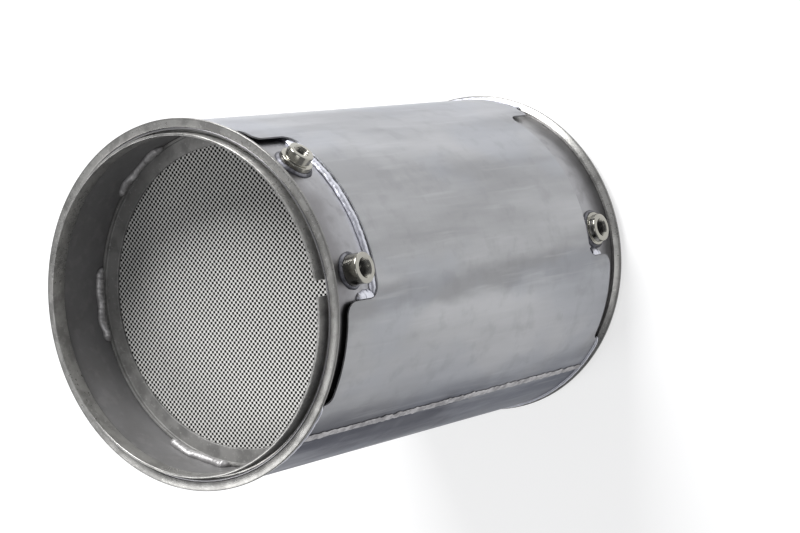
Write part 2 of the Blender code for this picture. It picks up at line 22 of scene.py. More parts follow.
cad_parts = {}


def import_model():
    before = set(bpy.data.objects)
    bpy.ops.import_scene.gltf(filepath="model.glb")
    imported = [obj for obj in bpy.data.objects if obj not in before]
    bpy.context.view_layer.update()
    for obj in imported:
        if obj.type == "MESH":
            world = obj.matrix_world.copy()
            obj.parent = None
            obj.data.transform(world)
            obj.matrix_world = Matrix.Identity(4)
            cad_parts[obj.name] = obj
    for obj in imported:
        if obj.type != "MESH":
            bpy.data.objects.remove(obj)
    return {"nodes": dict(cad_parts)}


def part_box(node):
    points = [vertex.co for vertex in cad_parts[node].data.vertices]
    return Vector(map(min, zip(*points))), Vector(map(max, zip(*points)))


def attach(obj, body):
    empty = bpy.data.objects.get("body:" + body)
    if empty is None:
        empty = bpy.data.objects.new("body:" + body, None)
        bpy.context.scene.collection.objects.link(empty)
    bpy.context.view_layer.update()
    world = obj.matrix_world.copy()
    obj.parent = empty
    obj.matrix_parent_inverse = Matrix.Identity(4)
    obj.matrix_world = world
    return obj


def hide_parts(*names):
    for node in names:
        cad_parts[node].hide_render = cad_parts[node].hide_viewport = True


LOG = logging.getLogger("filter_canister")

BODY = "root"

Colour = tuple[float, float, float]
Point2 = tuple[float, float]
Point3 = tuple[float, float, float]
Corner = tuple[float, float, float]
Placer = Callable[[float, float, float], Vector]
Section = Callable[[float], list[Point2]]

SEAT_GAP = 0.0003
RING_STEPS = 240
CORNER_STEPS = 3
SHARP_ANGLE = 33.0
BEVEL_ANGLE = 50.0
NOISE_ROUGHNESS = 0.55

BLACK = (0.0, 0.0, 0.0)
WHITE = (1.0, 1.0, 1.0)


class Grain(Enum):
    """The way in which a steel surface was worked."""

    ROLLED = "rolled"
    TURNED = "turned"
    PLAIN = "plain"


# Node trees


class NodeGraph:
    """Adds nodes to one tree, with their settings and inputs given in a single call."""

    def __init__(self, tree: bpy.types.NodeTree) -> None:
        """Keep the tree that the nodes go into.

        Args:
            tree: A shader tree or a geometry tree.
        """
        self.tree = tree

    def add(
        self,
        kind: str,
        settings: dict[str, Any] | None = None,
        values: dict[str | int, Any] | None = None,
    ) -> bpy.types.Node:
        """Add one node.

        Args:
            kind: The node's type.
            settings: Properties set first; "stops" holds a ramp's (place, colour) pairs.
            values: Numbers, colours or links for the node's inputs, by name or index.

        Returns:
            The new node.
        """
        node = self.tree.nodes.new(kind)
        for name, setting in (settings or {}).items():
            if name == "stops":
                self._set_stops(node.color_ramp, setting)
            else:
                setattr(node, name, setting)
        for key, value in (values or {}).items():
            self.feed(node.inputs[key], value)
        return node

    def feed(self, socket: bpy.types.NodeSocket, value: Any) -> None:
        """Link a socket or a Number to an input, or set the input's own value.

        Args:
            socket: The input.
            value: A Number, an output socket, or a constant.
        """
        if isinstance(value, Number):
            value = value.socket
        if isinstance(value, bpy.types.NodeSocket):
            self.tree.links.new(value, socket)
        else:
            socket.default_value = value

    @staticmethod
    def _set_stops(ramp: bpy.types.ColorRamp, stops: Sequence[tuple[float, Colour]]) -> None:
        """Give a colour ramp its stops.

        Args:
            ramp: The ramp.
            stops: Pairs of place and colour.
        """
        while len(ramp.elements) < len(stops):
            ramp.elements.new(1.0)
        for element, (place, colour) in zip(ramp.elements, stops):
            element.position = place
            element.color = (*colour, 1.0)

    def number(self, node: bpy.types.Node, output: str | int = 0) -> Number:
        """The number that a node gives out."""
        return Number(self, node.outputs[output])

    def blend(self, factor: Any, first: Any, second: Any) -> bpy.types.NodeSocket:
        """Mix two colours.

        Args:
            factor: 0 for the first, 1 for the second.
            first: A colour or a link.
            second: A colour or a link.

        Returns:
            The mixed colour's socket.
        """
        values = {0: factor, 6: opaque(first), 7: opaque(second)}
        node = self.add("ShaderNodeMix", {"data_type": "RGBA", "clamp_factor": True}, values)
        return node.outputs[2]

    def stretched(self, vector: Any, scale: Point3) -> bpy.types.NodeSocket:
        """Multiply a vector by a scale for each axis.

        Args:
            vector: The vector's socket.
            scale: Factors along X, Y and Z.

        Returns:
            The product's socket.
        """
        node = self.add("ShaderNodeVectorMath", {"operation": "MULTIPLY"}, {0: vector, 1: scale})
        return node.outputs[0]

    def grain(self, vector: Any, scale: Any, detail: float = 3.0) -> Number:
        """Noise between 0 and 1.

        Args:
            vector: Where it is read.
            scale: How fine it is.
            detail: How many finer layers it has.

        Returns:
            The noise as a Number.
        """
        values = {"Vector": vector, "Scale": scale, "Detail": detail, "Roughness": NOISE_ROUGHNESS}
        return self.number(self.add("ShaderNodeTexNoise", None, values))


def opaque(colour: Any) -> Any:
    """A colour with its alpha, or the link that was given."""
    return (*colour, 1.0) if isinstance(colour, tuple) and len(colour) == 3 else colour


class Number:
    """A number in a node tree, on which Python's operators add Math nodes."""

    def __init__(self, graph: NodeGraph, socket: bpy.types.NodeSocket) -> None:
        """Wrap one output.

        Args:
            graph: The graph that the output is in.
            socket: The output.
        """
        self.graph = graph
        self.socket = socket

    def apply(self, operation: str, *others: Any) -> Number:
        """Add a Math node with this number first.

        Args:
            operation: The Math node's operation.
            others: Its further inputs.

        Returns:
            The node's result.
        """
        values = dict(enumerate((self, *others)))
        return self.graph.number(self.graph.add("ShaderNodeMath", {"operation": operation}, values))

    def __add__(self, other: Any) -> Number:
        """Sum."""
        return self.apply("ADD", other)

    def __radd__(self, other: Any) -> Number:
        """Sum with the number on the right."""
        return self.apply("ADD", other)

    def __mul__(self, other: Any) -> Number:
        """Product."""
        return self.apply("MULTIPLY", other)

    def __rmul__(self, other: Any) -> Number:
        """Product with the number on the right."""
        return self.apply("MULTIPLY", other)

    def __sub__(self, other: Any) -> Number:
        """Difference."""
        return self.apply("SUBTRACT", other)

    def __rsub__(self, other: Any) -> Number:
        """Difference with the number on the right."""
        return self.apply("MULTIPLY", -1.0).apply("ADD", other)

    def __truediv__(self, other: Any) -> Number:
        """Quotient."""
        return self.apply("DIVIDE", other)

    def __pow__(self, other: Any) -> Number:
        """Power."""
        return self.apply("POWER", other)

    def absolute(self) -> Number:
        """The number without its sign."""
        return self.apply("ABSOLUTE")

    def below(self, limit: Any) -> Number:
        """1 where the number is under a limit, otherwise 0."""
        return self.apply("LESS_THAN", limit)

    def between(self, low: float, high: float) -> Number:
        """Rise softly from 0 at one value to 1 at another.

        Args:
            low: Where the result is 0.
            high: Where the result is 1.

        Returns:
            The softened step.
        """
        values = {0: self, 1: low, 2: high, 3: 0.0, 4: 1.0}
        settings = {"interpolation_type": "SMOOTHSTEP"}
        return self.graph.number(self.graph.add("ShaderNodeMapRange", settings, values))


@dataclass
class ObjectPlace:
    """Object coordinates of a shaded point, and what is worked out from them."""

    graph: NodeGraph
    vector: bpy.types.NodeSocket = field(init=False)
    x: Number = field(init=False)
    y: Number = field(init=False)
    z: Number = field(init=False)
    radius: Number = field(init=False)

    def __post_init__(self) -> None:
        """Add the nodes that read the coordinates."""
        self.vector = self.graph.add("ShaderNodeTexCoord").outputs["Object"]
        parts = self.graph.add("ShaderNodeSeparateXYZ", None, {0: self.vector})
        self.x, self.y, self.z = (self.graph.number(parts, axis) for axis in range(3))
        self.radius = (self.x * self.x + self.y * self.y) ** 0.5

    def along(self, azimuth: float) -> Number:
        """Distance from the axis in a direction.

        Args:
            azimuth: The direction in degrees.

        Returns:
            The distance as a Number.
        """
        turn = math.radians(azimuth)
        return self.x * math.cos(turn) + self.y * math.sin(turn)


class Surface:
    """One material's graph, with its shader and the coordinates that its finish follows."""

    def __init__(self, name: str) -> None:
        """Start a material.

        Args:
            name: The material's name.
        """
        self.material = bpy.data.materials.new(name)
        self.material.use_nodes = True
        self.graph = NodeGraph(self.material.node_tree)
        self.shader = self.material.node_tree.nodes["Principled BSDF"]
        self.place = ObjectPlace(self.graph)

    def set(self, channel: str, value: Any) -> None:
        """Give one channel of the shader a number, a colour or a link."""
        self.graph.feed(self.shader.inputs[channel], value)

    def relief(self, height: Number, strength: float, reach: float) -> None:
        """Bump the surface.

        Args:
            height: The relief.
            strength: How strong it is.
            reach: The height that a difference of 1 stands for.
        """
        values = {"Strength": strength, "Distance": reach, "Height": height}
        self.set("Normal", self.graph.add("ShaderNodeBump", None, values).outputs[0])

    def noise(self, scale: float | Point3, detail: float) -> Number:
        """Noise over the surface.

        Args:
            scale: How fine it is, in every direction or along X, Y and Z.
            detail: How many finer layers it has.

        Returns:
            The noise as a Number.
        """
        if isinstance(scale, tuple):
            return self.graph.grain(self.graph.stretched(self.place.vector, scale), 1.0, detail)
        return self.graph.grain(self.place.vector, scale, detail)

    def attribute(self, name: str) -> Number:
        """A number that is kept with the mesh's points."""
        node = self.graph.add("ShaderNodeAttribute", {"attribute_name": name})
        return self.graph.number(node, "Fac")


# Finishes


def times(colour: Colour, factor: float) -> Colour:
    """A colour made lighter or darker."""
    return tuple(factor * part for part in colour)


@dataclass(frozen=True)
class Marks:
    """Marks shaped by noise: they begin at one value of it and are full at another."""

    scale: float | Point3
    detail: float
    begin: float
    full: float
    share: float

    def over(self, surface: Surface, colour: Any, paint: Any) -> bpy.types.NodeSocket:
        """Paint the marks over a colour.

        Args:
            surface: The surface.
            colour: Its colour so far.
            paint: The colour of the marks.

        Returns:
            The marked colour.
        """
        shape = surface.noise(self.scale, self.detail).between(self.begin, self.full)
        return surface.graph.blend(shape * self.share, colour, paint)


@dataclass(frozen=True)
class SteelFinish:
    """Bare steel: a base shade with clouds, a working grain and fine dents."""

    name: str
    shade: Colour
    roughness: float
    grain: Grain = Grain.PLAIN
    cloud: float = 0.14
    grain_share: float = 0.10
    dent: float = 0.06
    metallic: float = 1.0
    edge_tint: Colour = WHITE

    def material(self) -> bpy.types.Material:
        """Build the node material.

        Returns:
            The finished material.
        """
        surface = Surface(self.name)
        clouds, specks = surface.noise(11.0, 4.0), surface.noise(900.0, 2.0)
        lines = self.lines(surface)
        tone = 1.0 + (clouds - 0.5) * (2.0 * self.cloud) + (lines - 0.5) * self.grain_share
        colour = surface.graph.blend(tone * 0.5, BLACK, times(self.shade, 2.0))
        surface.set("Base Color", self.stain(surface, colour))
        surface.set("Roughness", self.roughness + (clouds - 0.5) * 0.14 + (lines - 0.5) * 0.10)
        surface.set("Metallic", self.metal(surface))
        surface.set("Specular Tint", opaque(self.edge_tint))
        surface.relief(lines * 0.6 + specks * 0.25 + clouds * 1.5, self.dent, 0.002)
        return surface.material

    def lines(self, surface: Surface) -> Number:
        """Fine lines left by working the steel.

        Args:
            surface: The surface.

        Returns:
            Noise stretched along the lines.
        """
        if self.grain is Grain.TURNED:
            values = {0: surface.place.radius * 1600.0, 1: 0.0, 2: surface.place.z * 1600.0}
            vector = surface.graph.add("ShaderNodeCombineXYZ", None, values).outputs[0]
            return surface.graph.grain(vector, 1.0, 2.0)
        if self.grain is Grain.ROLLED:
            return surface.noise((14.0, 14.0, 520.0), 3.0)
        return surface.noise(260.0, 3.0)

    def metal(self, surface: Surface) -> Number | float:
        """How metallic the surface is; plain steel is even."""
        return self.metallic

    def stain(self, surface: Surface, colour: bpy.types.NodeSocket) -> bpy.types.NodeSocket:
        """Colour after any stain; plain steel has none."""
        return colour


@dataclass(frozen=True)
class ShieldFinish(SteelFinish):
    """Rolled shield sheet: heat tint and painted shade by and below its seam, painted reflection
    bands along it, and handling smears.
    """

    seam_azimuth: float = -30.0
    # Colour of the heat tint by the seam, which also serves as painted shade over the sheet's
    # underside.
    heat_tint_and_shade_colour: Colour = (0.040, 0.041, 0.055)
    heat_tint_and_shade_share: float = 0.93
    # Painted reflection bands: a darker and a paler band along the sheet, and a darker band on its
    # upper side, placed by azimuth.
    reflection_band_azimuth: float = 113.6
    dark_reflection_middle: float = -0.024
    pale_reflection_middle: float = -0.085
    cool: Colour = (0.34, 0.36, 0.405)
    cool_marks: Marks = Marks((11.0, 11.0, 6.0), 3.0, 0.46, 0.62, 0.30)
    mottle: Marks = Marks(42.0, 6.0, 0.50, 0.68, 0.20)
    smears: Marks = Marks((120.0, 120.0, 8.0), 5.0, 0.55, 0.75, 0.22)

    def drift(self, surface: Surface) -> Number:
        """Slow noise that keeps the marks' borders from being straight."""
        return surface.noise((30.0, 30.0, 14.0), 3.0) - 0.5

    def heat_tint_and_painted_shade(self, surface: Surface) -> Number:
        """Where the sheet is darkened: heat tint by the seam bead, and painted shade down its
        underside.

        Args:
            surface: The surface.

        Returns:
            1 at and below the seam bead, falling to 0 away from it.
        """
        facing = surface.place.along(self.seam_azimuth).between(0.0, 0.05)
        above = surface.place.along(self.seam_azimuth + 90.0) + self.drift(surface) * 0.014
        upper = 1.0 - above.between(-0.002, 0.075) ** 0.5
        lower = 1.0 - (above * -1.0).between(0.090, 0.200)
        return upper * lower * facing

    def metal(self, surface: Surface) -> Number | float:
        """The heat-tinted, painted-shade band by and below the seam has no pale haze over the
        metal.
        """
        return self.heat_tint_and_painted_shade(surface) * (1.0 - self.metallic) + self.metallic

    def stain(self, surface: Surface, colour: bpy.types.NodeSocket) -> bpy.types.NodeSocket:
        """Darken the sheet with heat tint and painted shade beside and below the seam, paint
        reflection bands along it, and smear it with handling marks.

        Args:
            surface: The surface.
            colour: The unstained colour.

        Returns:
            The stained colour.
        """
        graph = surface.graph
        pale, dull = times(self.shade, 1.40), times(self.shade, 0.52)
        broad = surface.noise((16.0, 16.0, 2.4), 5.0)
        # Heat tint by the seam, and painted shade over the underside below it.
        smeared = graph.blend(self.heat_tint_and_painted_shade(surface) * self.heat_tint_and_shade_share, colour, self.heat_tint_and_shade_colour)
        smeared = graph.blend(broad.between(0.48, 0.64) * 0.46, smeared, pale)
        smeared = graph.blend((1.0 - broad.between(0.36, 0.52)) * 0.42, smeared, dull)
        # Painted reflection bands: a darker band, a paler band and a darker upper band, placed
        # across the sheet by azimuth.
        across = surface.place.along(self.reflection_band_azimuth) + self.drift(surface) * 0.030
        dark_reflection_band = 1.0 - (across - self.dark_reflection_middle).absolute().between(0.004, 0.020)
        pale_reflection_band = 1.0 - (across - self.pale_reflection_middle).absolute().between(0.010, 0.045)
        upper_shade_band = across.between(-0.02, 0.05) * (1.0 - across.between(0.10, 0.15))
        banded = graph.blend(dark_reflection_band * (0.30 + broad * 0.55), smeared, dull)
        banded = graph.blend(pale_reflection_band * 0.34, banded, pale)
        banded = graph.blend(upper_shade_band * 0.20, banded, dull)
        hued = self.cool_marks.over(surface, banded, self.cool)
        mottled = self.mottle.over(surface, hued, dull)
        return self.smears.over(surface, mottled, pale)


@dataclass(frozen=True)
class ForgedFinish(SteelFinish):
    """Handled ring steel with grime, pale knocks and a painted dark reflection on its outer edge.
    """

    edge_radius: float = 0.1678
    # Where the painted dark reflection on the rounded outer edge begins and is full, inside the
    # edge radius.
    painted_edge_shade_reach: tuple[float, float] = (0.0022, 0.0004)
    grime: Marks = Marks(60.0, 6.0, 0.42, 0.64, 0.55)
    knocks: Marks = Marks(330.0, 4.0, 0.58, 0.72, 0.45)

    def stain(self, surface: Surface, colour: bpy.types.NodeSocket) -> bpy.types.NodeSocket:
        """Mottle the steel and paint a dark reflection on its outer edge.

        Args:
            surface: The surface.
            colour: The unstained colour.

        Returns:
            The stained colour.
        """
        pale, dull = times(self.shade, 1.7), times(self.shade, 0.42)
        grimy = self.grime.over(surface, colour, dull)
        knocked = self.knocks.over(surface, grimy, pale)
        # Painted dark reflection on the rounded outer edge.
        near, far = (self.edge_radius - reach for reach in self.painted_edge_shade_reach)
        edge = surface.place.radius.between(near, far)
        return surface.graph.blend(edge * 0.65, knocked, dull)


@dataclass(frozen=True)
class PipeFinish(SteelFinish):
    """Pipe steel: sooty and painted with shade towards the gas, smeared pale by the joint bead,
    dull by the flange.
    """

    wall_radius: float = 0.1583
    middle: float = 0.2573
    joint_reach: float = 0.1818
    # Soot colour of the gas side, which also serves as painted shade inside the pipe.
    soot_and_shade: Colour = (0.135, 0.132, 0.13)
    scrubbed: Colour = (0.26, 0.255, 0.25)
    smear: Colour = (0.62, 0.63, 0.70)
    dull: Colour = (0.17, 0.165, 0.17)

    def gas_side(self, surface: Surface) -> Number:
        """1 on the inside of the pipe and 0 outside."""
        low, high = self.wall_radius - 0.0004, self.wall_radius + 0.0004
        return 1.0 - surface.place.radius.between(low, high)

    def metal(self, surface: Surface) -> Number | float:
        """Soot and painted shade dull the gas side."""
        return 1.0 - self.gas_side(surface) * 0.65

    def stain(self, surface: Surface, colour: bpy.types.NodeSocket) -> bpy.types.NodeSocket:
        """Soot and painted shade on the gas side, and marks that follow the distance from the joint
        bead.

        Args:
            surface: The surface.
            colour: The unstained colour.

        Returns:
            The stained colour.
        """
        graph = surface.graph
        blotch, patch = surface.noise(38.0, 4.0), surface.noise(75.0, 5.0)
        inside = self.gas_side(surface)
        # Soot and painted shade on the gas side.
        sooty_and_shaded = graph.blend(inside * (0.62 + blotch * 0.38), colour, self.soot_and_shade)
        sooty_and_shaded = graph.blend(inside * patch.between(0.50, 0.68) * 0.45, sooty_and_shaded, self.scrubbed)
        sooty_and_shaded = graph.blend(patch.between(0.48, 0.66) * 0.28, sooty_and_shaded, self.dull)
        off_joint = (surface.place.z - self.middle).absolute() - self.joint_reach
        beside = (1.0 - (off_joint + (patch - 0.5) * 0.016).between(0.004, 0.017)) * (1.0 - inside)
        smeared = graph.blend(beside * patch.between(0.35, 0.60) * 0.8, sooty_and_shaded, self.smear)
        dulled = (off_joint + (blotch - 0.5) * 0.05).between(0.016, 0.052) * (1.0 - inside)
        return graph.blend(dulled * 0.75, smeared, self.dull)


@dataclass(frozen=True)
class BossFinish(SteelFinish):
    """Machined steel with painted shade down in its bore."""

    # Colour of the painted shade down the bore.
    bore: Colour = (0.035, 0.033, 0.030)

    def stain(self, surface: Surface, colour: bpy.types.NodeSocket) -> bpy.types.NodeSocket:
        """Paint shade down the bore, darkest at its foot."""
        # Painted shade that deepens down the bore.
        deep = surface.attribute("bore").between(0.02, 0.45) * 0.9
        return surface.graph.blend(deep, colour, self.bore)


@dataclass(frozen=True)
class WeldFinish:
    """Rippled weld metal: bright on the crown, tinted along its edges."""

    name: str
    crown: Colour
    edge: Colour
    roughness: float = 0.40
    patchiness: float = 0.6
    metallic: float = 1.0

    def material(self) -> bpy.types.Material:
        """Build the node material.

        Returns:
            The finished material.
        """
        surface = Surface(self.name)
        mottle, fine = surface.noise(240.0, 4.0), surface.noise(1400.0, 2.0)
        patches = surface.noise(95.0, 3.0).between(0.38, 0.62)
        bright = 1.0 - self.patchiness + patches * self.patchiness
        top = surface.attribute("crown").between(0.05, 0.65) * (0.4 + mottle * 0.8) * bright
        surface.set("Base Color", surface.graph.blend(top, self.edge, self.crown))
        surface.set("Roughness", self.roughness + (mottle - 0.5) * 0.30)
        surface.set("Metallic", self.metallic)
        surface.relief(mottle + fine * 0.5, 0.22, 0.0008)
        return surface.material


@dataclass(frozen=True)
class CeramicFinish:
    """Matt porous ceramic, with painted shadow down in the channels."""

    name: str
    plug: Colour
    wall: Colour
    # Colour of the painted shadow down the channels.
    channel: Colour
    inlet_face: float
    outlet_face: float
    plug_depths: tuple[float, float] = (0.00001, 0.00004)
    shadow_depths: tuple[float, float] = (0.00006, 0.00020)

    def material(self) -> bpy.types.Material:
        """Build the node material.

        Returns:
            The finished material.
        """
        surface = Surface(self.name)
        graph = surface.graph
        pores, patches = surface.noise(2600.0, 2.0), surface.noise(16.0, 3.0)
        single = surface.noise(330.0, 1.0)
        middle = 0.5 * (self.inlet_face + self.outlet_face)
        reach = 0.5 * (self.inlet_face - self.outlet_face)
        depth = reach - (surface.place.z - middle).absolute()
        plugged = depth.between(*self.plug_depths) * (0.72 + patches * 0.2 + single * 0.2)
        colour = graph.blend(plugged, self.wall, self.plug)
        speckled = graph.blend(pores.between(0.55, 0.75) * 0.15, colour, self.wall)
        # Painted shadow down the channels.
        shadow = depth.between(*self.shadow_depths)
        surface.set("Base Color", graph.blend(shadow, speckled, self.channel))
        surface.set("Roughness", 0.88 + pores * 0.1)
        surface.relief(pores, 0.25, 0.0003)
        return surface.material


@dataclass(frozen=True)
class FibreFinish:
    """Needled fibre mat."""

    name: str
    shade: Colour

    def material(self) -> bpy.types.Material:
        """Build the node material.

        Returns:
            The finished material.
        """
        surface = Surface(self.name)
        strands = surface.noise((900.0, 900.0, 220.0), 4.0)
        surface.set("Base Color", surface.graph.blend(strands, times(self.shade, 0.78), self.shade))
        surface.set("Roughness", 0.85 + strands * 0.15)
        surface.relief(strands, 0.6, 0.0006)
        return surface.material


# Mesh helpers


def polar(radius: float, azimuth: float, z: float) -> Vector:
    """Point at a radius and an azimuth in degrees."""
    turn = math.radians(azimuth)
    return Vector((radius * math.cos(turn), radius * math.sin(turn), z))


def eased(corners: Sequence[Corner], steps: int = CORNER_STEPS) -> list[Point2]:
    """Round the corners of a closed flat outline.

    Args:
        corners: Corners as (x, y, radius), with 0 for a corner left sharp.
        steps: Chords in each arc.

    Returns:
        The outline's points.
    """
    points: list[Point2] = []
    for index, (x, y, radius) in enumerate(corners):
        here = Vector((x, y))
        if radius <= 0.0:
            points.append((x, y))
            continue
        back = (Vector(corners[index - 1][:2]) - here).normalized()
        ahead = (Vector(corners[(index + 1) % len(corners)][:2]) - here).normalized()
        half = 0.5 * back.angle(ahead)
        reach = radius / math.tan(half)
        centre = here + (back + ahead).normalized() * (radius / math.sin(half))
        first = here + back * reach - centre
        last = here + ahead * reach - centre
        for step in range(steps + 1):
            arm = first.lerp(last, step / steps).normalized() * radius
            points.append((centre.x + arm.x, centre.y + arm.y))
    return points


def skin(bm: bmesh.types.BMesh, sections: Sequence[Sequence[Vector]], closed: bool) -> None:
    """Lay faces over a row of equal sections.

    Args:
        bm: The mesh to add to.
        sections: The rings of points.
        closed: Whether the last section joins the first; if not, both get an end face.
    """
    rows = [[bm.verts.new(point) for point in section] for section in sections]
    pairs = list(zip(rows, rows[1:]))
    if closed:
        pairs.append((rows[-1], rows[0]))
    for first, second in pairs:
        for i in range(len(first)):
            j = (i + 1) % len(first)
            bm.faces.new((first[i], first[j], second[j], second[i]))
    if not closed:
        bm.faces.new(rows[0])
        bm.faces.new(list(reversed(rows[-1])))


def as_object(name: str, bm: bmesh.types.BMesh) -> bpy.types.Object:
    """Turn a bmesh into a smooth-shaded object at the origin.

    Args:
        name: The object's name.
        bm: The mesh, which is freed.

    Returns:
        The linked object.
    """
    bmesh.ops.recalc_face_normals(bm, faces=bm.faces)
    mesh = bpy.data.meshes.new(name)
    bm.to_mesh(mesh)
    bm.free()
    mesh.shade_smooth()
    mesh.set_sharp_from_angle(angle=math.radians(SHARP_ANGLE))
    item = bpy.data.objects.new(name, mesh)
    bpy.context.collection.objects.link(item)
    return item


def turned(
    name: str, profile: Sequence[Point2], start: float = 0.0, stop: float = 360.0
) -> bpy.types.Object:
    """Turn a closed profile about the canister's axis.

    Args:
        name: The object's name.
        profile: Points as (radius, z).
        start: First azimuth.
        stop: Last azimuth; 360 past the first for a whole ring.

    Returns:
        The turned object.
    """
    whole = stop - start >= 360.0
    count = math.ceil(RING_STEPS * (stop - start) / 360.0)
    rows = count if whole else count + 1
    azimuths = [start + (stop - start) * k / count for k in range(rows)]
    bm = bmesh.new()
    skin(bm, [[polar(r, azimuth, z) for r, z in profile] for azimuth in azimuths], whole)
    return as_object(name, bm)


def settle(item: bpy.types.Object) -> None:
    """Apply an object's modifiers by taking its evaluated mesh.

    Args:
        item: The object, whose modifiers are removed.
    """
    graph = bpy.context.evaluated_depsgraph_get()
    mesh = bpy.data.meshes.new_from_object(item.evaluated_get(graph))
    item.modifiers.clear()
    item.data = mesh


def soften_edges(item: bpy.types.Object, width: float) -> None:
    """Round the sharp edges of a sheet-metal piece.

    Args:
        item: The piece.
        width: How far the rounding reaches.
    """
    bevel = item.modifiers.new("edges", "BEVEL")
    bevel.width = width
    bevel.segments = 2
    bevel.limit_method = "ANGLE"
    bevel.angle_limit = math.radians(BEVEL_ANGLE)
    bevel.harden_normals = False


def keep_numbers(item: bpy.types.Object, name: str, values: Sequence[float]) -> None:
    """Keep a number with each point of a piece's mesh."""
    item.data.attributes.new(name, "FLOAT", "POINT").data.foreach_set("value", values)


def dress(
    item: bpy.types.Object, material: bpy.types.Material, nodes: Sequence[str]
) -> None:
    """Give a piece its finish and put it in the place of its solids.

    Args:
        item: The piece.
        material: Its finish.
        nodes: The solids that it stands for.
    """
    item.data.materials.clear()
    item.data.materials.append(material)
    for polygon in item.data.polygons:
        polygon.material_index = 0
    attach(item, BODY)
    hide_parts(*nodes)
    LOG.info("%s: %d faces", item.name, len(item.data.polygons))


# Sizes


@dataclass(frozen=True)
class CanisterEnd:
    """One end of the canister: depths are measured inwards from its flange face."""

    name: str
    face_z: float
    inward: int
    window_depth: float

    def z(self, depth: float) -> float:
        """Height of a point this deep behind the flange face."""
        return self.face_z + self.inward * depth

    def node(self, suffix: str) -> str:
        """Name of one of this end's solids."""
        return f"{self.name}_{suffix}"


@dataclass(frozen=True)
class CanisterSizes:
    """Sizes of the canister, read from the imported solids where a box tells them."""

    flange_outer: float
    flange_back: float
    can_outer: float
    can_inner: float
    pipe_length: float
    pilot_proud: float
    pilot_depth: float
    ring_outer: float
    ring_back: float
    shield_outer: float
    shield_setback: float
    block_radius: float
    block_top: float
    block_bottom: float
    inlet: CanisterEnd
    outlet: CanisterEnd
    can_wall: float = 0.0020
    shield_wall: float = 0.0015
    ring_wall: float = 0.0025
    ring_face_width: float = 0.0165
    ring_upstand: float = 0.0035
    pilot_wall: float = 0.0025
    pilot_clearance: float = 0.0025
    pilot_foot: float = 0.0025
    outlet_window_step: float = 0.0070
    boss_from_joint: float = 0.0300
    sensor_azimuth: float = 25.5
    pressure_azimuth: float = 65.3

    @classmethod
    def from_frame(cls) -> CanisterSizes:
        """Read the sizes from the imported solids.

        Returns:
            The canister's sizes.
        """
        flange_low, flange_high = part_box("inlet_flange")
        outlet_low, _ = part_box("outlet_flange")
        pipe_low, pipe_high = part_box("inlet_end_pipe")
        pilot_low, pilot_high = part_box("inlet_pilot_ring")
        ring_low, ring_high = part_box("inlet_retaining_ring")
        _, shield_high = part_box("outer_shield")
        block_low, block_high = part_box("filter_block")
        face = flange_high.z
        pipe_length = face - pipe_low.z
        return cls(
            flange_outer=flange_high.x,
            flange_back=face - flange_low.z,
            can_outer=pipe_high.x,
            can_inner=pipe_high.x - cls.can_wall,
            pipe_length=pipe_length,
            pilot_proud=pilot_high.z - face,
            pilot_depth=face - pilot_low.z,
            ring_outer=ring_high.x,
            ring_back=face - ring_low.z,
            shield_outer=shield_high.x,
            shield_setback=face - shield_high.z,
            block_radius=block_high.x,
            block_top=block_high.z,
            block_bottom=block_low.z,
            inlet=CanisterEnd("inlet", face, -1, pipe_length),
            outlet=CanisterEnd("outlet", outlet_low.z, 1, pipe_length - cls.outlet_window_step),
        )

    @property
    def ends(self) -> tuple[CanisterEnd, CanisterEnd]:
        """Both ends, inlet first."""
        return self.inlet, self.outlet

    @property
    def shield_inner(self) -> float:
        """Inner radius of the heat shield."""
        return self.shield_outer - self.shield_wall

    @property
    def pilot_outer(self) -> float:
        """Outer radius of the pilot ring."""
        return self.can_inner - self.pilot_clearance

    @property
    def ring_inner(self) -> float:
        """Inner radius of the retaining ring."""
        return self.ring_outer - self.ring_face_width

    @property
    def boss_depth(self) -> float:
        """Depth of the bosses' axes."""
        return self.pipe_length - self.boss_from_joint

    def round_can(self, distance: float) -> float:
        """Angle in degrees of a distance measured round the can."""
        return math.degrees(distance / self.can_outer)


# Weld beads


class SizedTree:
    """A geometry tree with a named input for each size and one for its finish."""

    NAME = "sized_tree"
    SIZES: tuple[str, ...] = ()

    def __init__(self) -> None:
        """Build the tree, which ends in its finish."""
        self.tree = bpy.data.node_groups.new(self.NAME, "GeometryNodeTree")
        face = self.tree.interface
        face.new_socket("Geometry", in_out="INPUT", socket_type="NodeSocketGeometry")
        self.inputs = {
            name: face.new_socket(name, in_out="INPUT", socket_type="NodeSocketFloat").identifier
            for name in self.SIZES
        }
        finish = face.new_socket("Finish", in_out="INPUT", socket_type="NodeSocketMaterial")
        self.inputs["Finish"] = finish.identifier
        face.new_socket("Geometry", in_out="OUTPUT", socket_type="NodeSocketGeometry")
        graph = NodeGraph(self.tree)
        entry = graph.add("NodeGroupInput")
        values = {"Geometry": self._fill(graph, entry), "Material": entry.outputs["Finish"]}
        dressed = graph.add("GeometryNodeSetMaterial", None, values)
        graph.add("NodeGroupOutput", None, {"Geometry": dressed.outputs[0]})

    def _fill(self, graph: NodeGraph, entry: bpy.types.Node) -> bpy.types.NodeSocket:
        """Add the tree's own nodes.

        Args:
            graph: The tree's graph.
            entry: The tree's input node.

        Returns:
            The geometry that they make, with its instances realized.
        """
        raise NotImplementedError

    def run_on(
        self, item: bpy.types.Object, sizes: dict[str, float], finish: bpy.types.Material
    ) -> None:
        """Run the tree on an object and make the result its mesh.

        Args:
            item: The object.
            sizes: A value for each named size.
            finish: The material for the tree's finish.
        """
        modifier = item.modifiers.new(self.NAME, "NODES")
        modifier.node_group = self.tree
        for name, value in sizes.items():
            modifier[self.inputs[name]] = value
        modifier[self.inputs["Finish"]] = finish
        settle(item)


